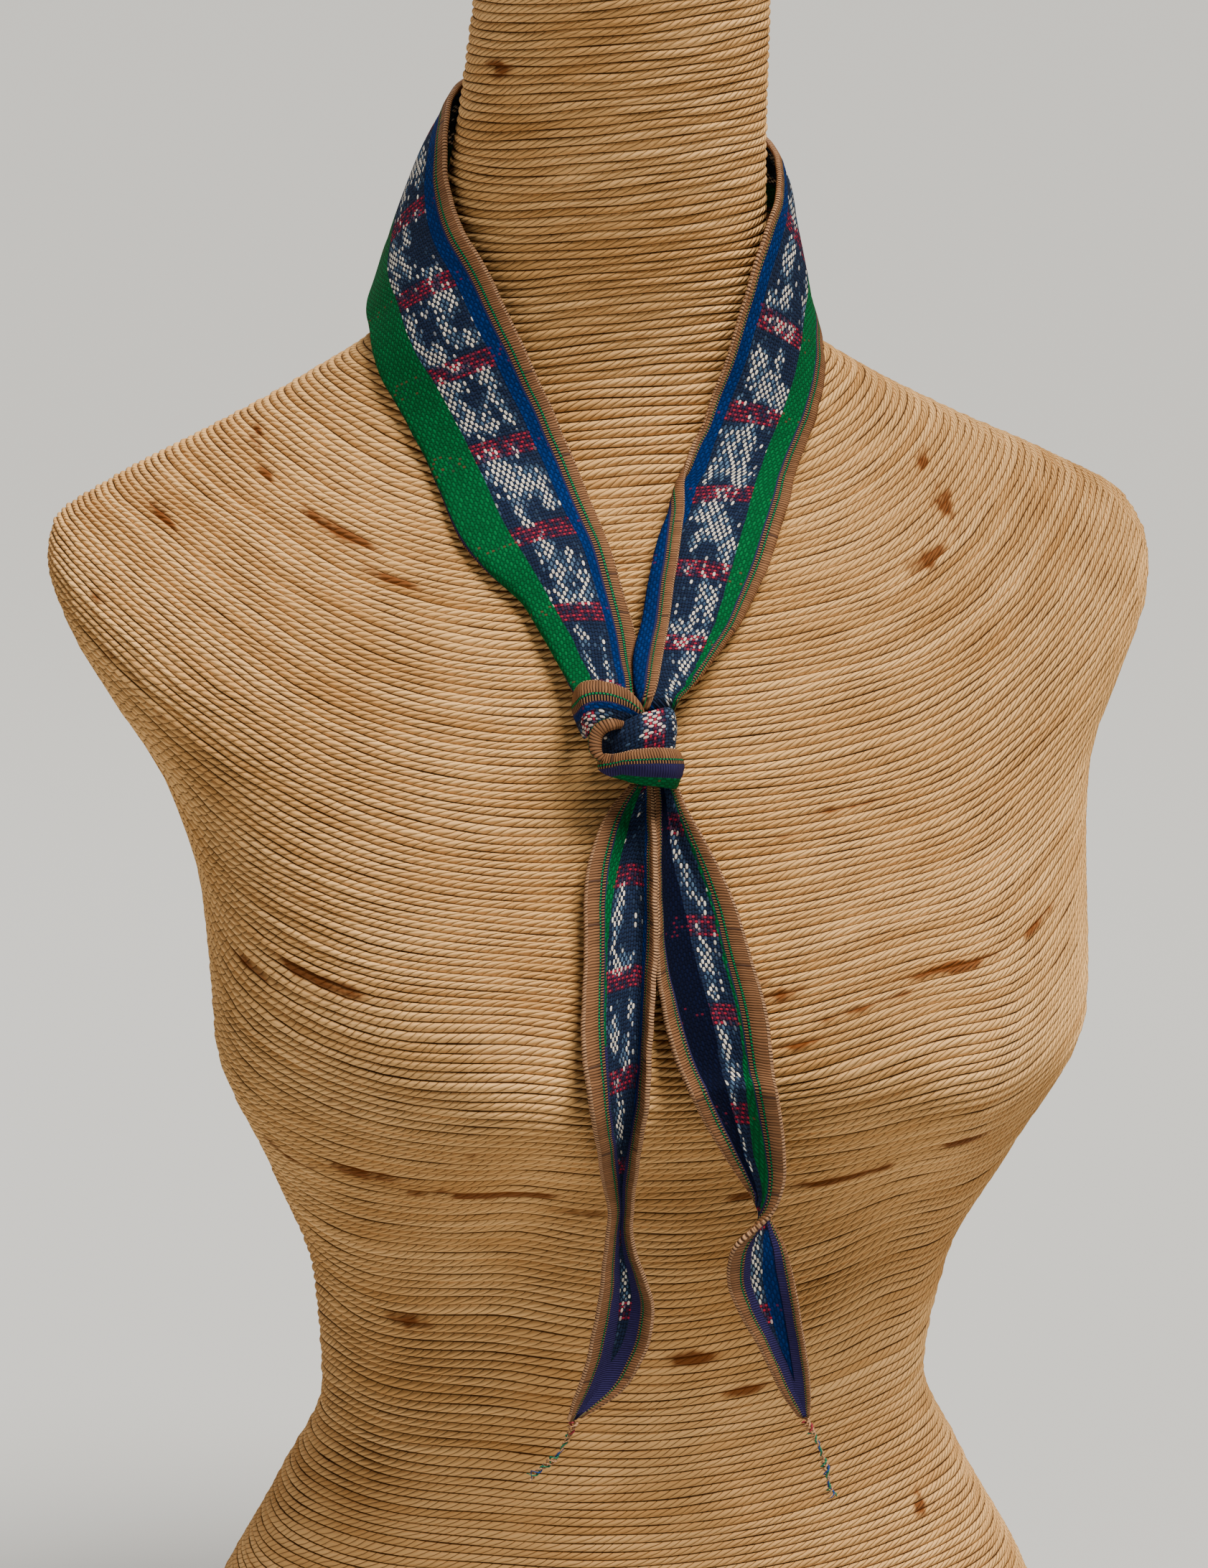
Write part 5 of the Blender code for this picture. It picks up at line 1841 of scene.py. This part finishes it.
    def build(self, material: bpy.types.Material) -> bpy.types.Object:
        """Args:
            material: finish of the cloth.

        Returns:
            The piece.
        """
        points, width = self.read_lines()
        arc = run_lengths(points[:, points.shape[1]//2])
        phase = np.array(self.along)
        s = np.interp(arc, phase[:, 0], phase[:, 1])[:, None] + 0*points[..., 0]
        read = [at[-1] - at[::-1] if self.reverse else at for at in width]
        rows = [self.zone_of(a, at) for a, at in zip(arc, read)]
        turn = -1 if self.reverse else 1
        c = np.array([row[0][::turn] for row in rows])
        plain = np.array([row[1][::turn] for row in rows])
        maps = {"cloth": np.stack([s/100, c/100], -1),
                "dye": np.stack([self.kept(s, c), plain], -1),
                "weave": np.stack([width/100, 0*width], -1)}
        item = grid_piece(self.piece.value + "_cloth", self.pucker(points, width, arc), maps)
        item.data.materials.append(material)
        self.thicken(item, width)
        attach(item, "root")
        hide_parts(self.piece.value)
        not self.rim_only
        LOG.info("%s: %d faces, %.0f mm long", item.name, len(item.data.polygons), arc[-1])
        return item

    def from_edge(self, at: Array) -> Array:
        """Distances from the nearest bordered edge."""
        return at if self.is_wrap else np.minimum(at, at[:, -1:] - at)

    def pucker(self, points: Array, at: Array, arc: Array) -> Array:
        """Draw small waves into the borders, as the overlock does.

        Args:
            points: places on the smooth cloth.
            at: distances across it.
            arc: lengths along it.

        Returns:
            The points, moved off the smooth cloth.
        """
        normal = unit(np.cross(np.gradient(points, axis=1), np.gradient(points, axis=0)))
        near = np.exp(-(self.from_edge(at)/self.pucker_reach)**2)
        side = np.where(at < at[:, -1:]/2, 0.0, 2.1)
        wave = (np.sin(arc[:, None]/4.3 + side) + 0.7*np.sin(arc[:, None]/2.1 + 1.3 + 2*side)
                + 0.8*np.sin(arc[:, None]/9.7 + side))
        return points + normal*(self.pucker_height*near*wave)[..., None]

    def thicken(self, item: bpy.types.Object, at: Array) -> None:
        """Give the cloth its wall, thick in the borders and thin between them.

        Args:
            item: the piece.
            at: distances across it.
        """
        wall = np.interp(self.from_edge(at), self.wall_at, self.wall)
        if self.rim_only:
            wall = np.interp(at/at[:, -1:], self.rim_wall_at, self.rim_wall)
        group = item.vertex_groups.new(name="wall")
        thickest = max(self.wall) + self.spare_wall
        for k, share in enumerate((wall/thickest).reshape(-1)):
            group.add([k], float(min(share, 1.0)), "REPLACE")
        apply_modifier(item, "SOLIDIFY", thickness=thickest*MM, offset=0.0, vertex_group="wall",
                       use_even_offset=False, use_rim=True)
        place_at_origin(item)


@dataclass
class EndThread:
    """Threads that run on from a point of the scarf, twisted and knotted."""
    piece: Piece
    path: Sequence[ThreadPoint]
    form: FormShape
    strands: int = 3
    sides: int = 4
    twist: float = 5.0
    strand_radius: float = 0.34
    frayed: float = 5.0
    flare: float = 0.28
    lay: float = 0.36
    knot_lay: float = 0.9
    kink: float = 0.25

    def strand(self, number: int) -> tuple[Array, Array]:
        """Rings along one strand.

        Args:
            number: which strand, from 0.

        Returns:
            Points by ring and side, and the rings' lengths along the thread.
        """
        rows = spline(self.path, 70)
        middle = np.array([[r[0], self.form.rest_y(r[0], r[1]) - r[2], r[1]] for r in rows])
        arc = run_lengths(middle)
        ahead = unit(np.gradient(middle, axis=0))
        side = unit(np.cross(ahead, [0.0, 1.0, 0.0]))
        other = np.cross(ahead, side)
        turn = arc/self.twist*2*math.pi + number*2*math.pi/self.strands
        knots = np.clip(rows[:, 3] - 0.75, 0, 1)
        left = arc[-1] - arc
        spread = np.where(left < self.frayed, (self.frayed - left)*self.flare, 0.0)
        swing = self.lay + knots*self.knot_lay + spread
        centre = middle + side*(np.cos(turn)*swing)[:, None] + other*(np.sin(turn)*swing)[:, None]
        centre = centre + side*(self.kink*np.sin(arc*1.7 + number))[:, None]
        radius = self.strand_radius*(1 + 0.5*knots)*np.clip(left/1.5 + 0.45, 0, 1)
        angle = np.linspace(0, 2*math.pi, self.sides + 1)
        ring = (side[:, None, :]*np.cos(angle)[None, :, None]
                + other[:, None, :]*np.sin(angle)[None, :, None])
        return centre[:, None, :] + ring*radius[:, None, None], arc

    def build(self, material: bpy.types.Material) -> bpy.types.Object:
        """Make the strands and join them as one piece.

        Args:
            material: finish of the thread.

        Returns:
            The piece.
        """
        parts = []
        for number in range(self.strands):
            rings, arc = self.strand(number)
            count = rings.shape[1]
            tips = [np.repeat(end.mean(axis=1, keepdims=True), count, 1)
                    for end in (rings[:1], rings[-1:])]
            rings = np.concatenate([tips[0], rings, tips[1]])
            arc = np.concatenate([arc[:1], arc, arc[-1:]])
            strand = np.stack([np.repeat(arc[:, None], count, 1)/100,
                               np.full((len(arc), count), number/10)], -1)
            part = grid_piece(f"{self.piece.value}_strand", rings, {"strand": strand})
            bpy.ops.object.mode_set(mode="EDIT")
            bpy.ops.mesh.select_all(action="SELECT")
            bpy.ops.mesh.remove_doubles(threshold=1e-6)
            bpy.ops.mesh.normals_make_consistent(inside=False)
            bpy.ops.object.mode_set(mode="OBJECT")
            parts.append(part)
        for part in parts:
            part.select_set(True)
        bpy.ops.object.join()
        item = bpy.context.object
        item.name = item.data.name = self.piece.value + "_strands"
        item.data.materials.append(material)
        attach(item, "root")
        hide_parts(self.piece.value)
        LOG.info("%s: %d strands, %.0f mm", item.name, self.strands, arc[-1])
        return item


@dataclass
class Scarf:
    """Woven scarf: the loop round the neck, the knot's stretches and both ends."""
    form: FormShape
    knot: KnotShape
    finish: ScarfFinish = ScarfFinish()
    step: float = 1.25

    def lines(self, rows: Sequence[Sequence[float]], count: int, kind: str) -> list[Array]:
        """Lines across one stretch at even steps of its table.

        Args:
            rows: the table.
            count: how many lines.
            kind: "loop", "tail" or "wrap".

        Returns:
            The lines.
        """
        sections = ScarfSections(self.form, self.knot)
        section = {"loop": sections.loop, "tail": sections.tail, "wrap": sections.wrap}[kind]
        return [section(row) for row in spline(rows, count)]

    def even(self, rows: Sequence[Sequence[float]], kind: str, length: float) -> list[Array]:
        """Lines across a stretch, spaced evenly along it.

        Args:
            rows: the table.
            kind: "loop" or "tail".
            length: length of the stretch.

        Returns:
            The lines.
        """
        fine = self.lines(rows, 6*len(rows), kind)
        middle = np.array([line[len(line)//2] for line in fine])
        run = run_lengths(middle)
        count = int(length/self.step)
        at = np.interp(np.linspace(0, run[-1], count), run, np.arange(len(run)))
        return list(read_rows(np.array(fine), at))

    def build(self) -> list[bpy.types.Object]:
        """Make every stretch that shows.

        Returns:
            The pieces.
        """
        cloth = self.finish.material()
        thread = ThreadFinish().material()
        wraps = [
            (Piece.SIDE_WRAP, SIDE_WRAP_ROWS, SIDE_WRAP_ZONES, (), 5.0, True, (0.01, 0.026)),
            (Piece.UPPER_WRAP, UPPER_WRAP_ROWS, UPPER_WRAP_ZONES, UPPER_WRAP_WHITES, 111.0, False,
             (0.0135, 0.041)),
            (Piece.FRONT_WRAP, FRONT_WRAP_ROWS, FRONT_WRAP_ZONES, FRONT_WRAP_WHITES, 78.0, False,
             (0.0135, 0.047)),
            (Piece.LOWER_WRAP, LOWER_WRAP_ROWS, LOWER_WRAP_ZONES, (), 40.0, False, (0.0125, 0.045)),
        ]
        made = [
            Stretch(Piece.LOOP, self.even(LOOP_ROWS, "loop", 617), (0.055, 0.617), "folded",
                    (Piece.FORM.value,), LOOP_PHASE, LOOP_ZONES,
                    whites=LEFT_LAPEL_WHITES + RIGHT_LAPEL_WHITES).build(cloth),
            Stretch(Piece.LEFT_TAIL, self.even(LEFT_TAIL_ROWS, "tail", 228), (0.032, 0.228), "hung",
                    (Piece.KNOT_CORE.value,), LEFT_TAIL_PHASE, LEFT_TAIL_ZONES,
                    whites=LEFT_TAIL_WHITES, reverse=True).build(cloth),
            # The right end's blue near the knot is darkened as painted shade.
            Stretch(Piece.RIGHT_TAIL, self.even(RIGHT_TAIL_ROWS, "tail", 238), (0.032, 0.238), "hung",
                    (Piece.KNOT_CORE.value,), RIGHT_TAIL_PHASE, RIGHT_TAIL_ZONES,
                    whites=RIGHT_TAIL_WHITES, shaded=True).build(cloth),
        ]
        for piece, rows, zones, whites, start, rim_only, flat in wraps:
            lines = self.lines(rows, 72, "wrap")
            phase = [PhaseMark(0, start), PhaseMark(100, start + 100)]
            rim = (made[-1],) if piece is Piece.UPPER_WRAP else ()
            plain, fan = (4.0, 11.0) if piece is Piece.LOWER_WRAP else (0.0, 0.0)
            stretch = Stretch(piece, lines, flat, "folded", (Piece.KNOT_CORE.value,), phase, zones,
                              plain=plain, fan=fan, whites=whites, rim_only=rim_only, with_pieces=rim)
            made.append(stretch.build(cloth))
        for piece, path in ((Piece.LEFT_THREAD, LEFT_THREAD), (Piece.RIGHT_THREAD, RIGHT_THREAD)):
            made.append(EndThread(piece, path, self.form).build(thread))
        made.append(self.core())
        return made

    def core(self) -> bpy.types.Object:
        """Make the dark folded cloth inside the knot, behind its stretches.

        Returns:
            The piece.
        """
        bpy.ops.object.select_all(action="DESELECT")
        bpy.ops.mesh.primitive_uv_sphere_add(segments=48, ring_count=24, radius=1)
        item = bpy.context.object
        item.name = item.data.name = "knot_inside"
        size = np.array([self.knot.half_width, self.knot.half_height, self.knot.half_depth])
        for vertex in item.data.vertices:
            way = np.array(vertex.co)
            crease = 1 + 0.03*math.sin(9*way[1] + 4*way[0])
            local = way*size*crease + np.array([1.5, -2.0, -0.5])
            vertex.co = tuple((self.knot.middle() + local @ self.knot.axes())*MM)
        place_at_origin(item)
        item.data.materials.append(CoreFinish().material())
        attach(item, "root")
        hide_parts(Piece.KNOT_CORE.value)
        LOG.info("%s: %d faces", item.name, len(item.data.polygons))
        return item


@dataclass
class Studio:
    """Plain pale floor, soft light and the camera."""
    target: tuple[float, float, float] = (-23.0, -80.0, 427.6)
    azimuth: float = -12.0
    elevation: float = 13.0
    distance: float = 1238.0
    lens: float = 85.0
    sensor: float = 36.0
    chest: tuple[float, float, float] = (0.0, -0.05, 0.42)
    floor: Colour = srgb(190, 190, 187)
    floor_size: float = 400.0
    floor_roughness: float = 0.95
    sky: Colour = (0.80, 0.82, 0.85, 1.0)
    sky_strength: float = 0.1

    def light(self, name: str, place: tuple[float, float, float], size: float, power: float,
              colour: tuple[float, float, float]) -> None:
        """Soft area light aimed at the chest.

        Args:
            name: name of the light.
            place: its middle, in metres.
            size: its diameter.
            power: its power in watts.
            colour: its colour.
        """
        data = bpy.data.lights.new(name, "AREA")
        data.shape, data.size, data.energy, data.color = "DISK", size, power, colour
        item = bpy.data.objects.new(name, data)
        bpy.context.scene.collection.objects.link(item)
        item.location = place
        aim = np.array(self.chest) - np.array(place)
        item.rotation_euler = (math.atan2(math.hypot(aim[0], aim[1]), -aim[2]), 0,
                               math.atan2(aim[0], -aim[1]) + math.pi)

    def sun(self, name: str, way: tuple[float, float, float], angle: float, strength: float,
            colour: tuple[float, float, float]) -> None:
        """Soft even light from a direction.

        Args:
            name: name of the light.
            way: direction towards the light.
            angle: how wide it looks, in radians.
            strength: its strength.
            colour: its colour.
        """
        data = bpy.data.lights.new(name, "SUN")
        data.angle, data.energy, data.color = angle, strength, colour
        item = bpy.data.objects.new(name, data)
        bpy.context.scene.collection.objects.link(item)
        item.rotation_euler = (math.atan2(math.hypot(way[0], way[1]), way[2]), 0,
                               math.atan2(way[0], -way[1]))

    def build(self) -> None:
        """Make the floor, the lights and the camera."""
        bpy.ops.object.select_all(action="DESELECT")
        bpy.ops.mesh.primitive_plane_add(size=self.floor_size, location=(0, 0, -0.5*MM))
        floor = bpy.context.object
        floor.name = "studio_floor"
        g = Graph("studio_floor")
        g.finish(self.floor, self.floor_roughness)
        floor.data.materials.append(g.material)
        self.sun("key", way=(0.34, -0.45, 1.25), angle=0.45, strength=6.2, colour=(1.0, 0.96, 0.90))
        self.light("fill", place=(-1.5, -1.4, 1.0), size=1.2, power=4, colour=(0.94, 0.97, 1.0))
        self.light("back", place=(-0.5, 1.4, 1.9), size=1.2, power=14, colour=(0.97, 0.98, 1.0))
        world = bpy.data.worlds.new("studio")
        bpy.context.scene.world = world
        world.use_nodes = True
        shade = next(n for n in world.node_tree.nodes if n.type == "BACKGROUND")
        shade.inputs["Color"].default_value = self.sky
        shade.inputs["Strength"].default_value = self.sky_strength
        az, el = math.radians(self.azimuth), math.radians(self.elevation)
        back = np.array([math.sin(az)*math.cos(el), -math.cos(az)*math.cos(el), math.sin(el)])
        data = bpy.data.cameras.new("photo_view")
        data.lens, data.sensor_width, data.sensor_fit = self.lens, self.sensor, "AUTO"
        data.clip_start, data.clip_end = 0.05, 60.0
        camera = bpy.data.objects.new("photo_view", data)
        bpy.context.scene.collection.objects.link(camera)
        camera.location = (np.array(self.target) + self.distance*back)*MM
        camera.rotation_euler = (math.pi/2 - el, 0, az)
        bpy.context.scene.camera = camera


def main() -> None:
    """Build the form, the scarf and the studio in order."""
    logging.basicConfig(level=logging.INFO, format="%(message)s")
    bpy.ops.object.select_all(action="DESELECT")
    form = FormShape()
    WoundForm(form).build()
    Scarf(form, KnotShape(form)).build()
    Studio().build()


if __name__ == "__main__":
    main()
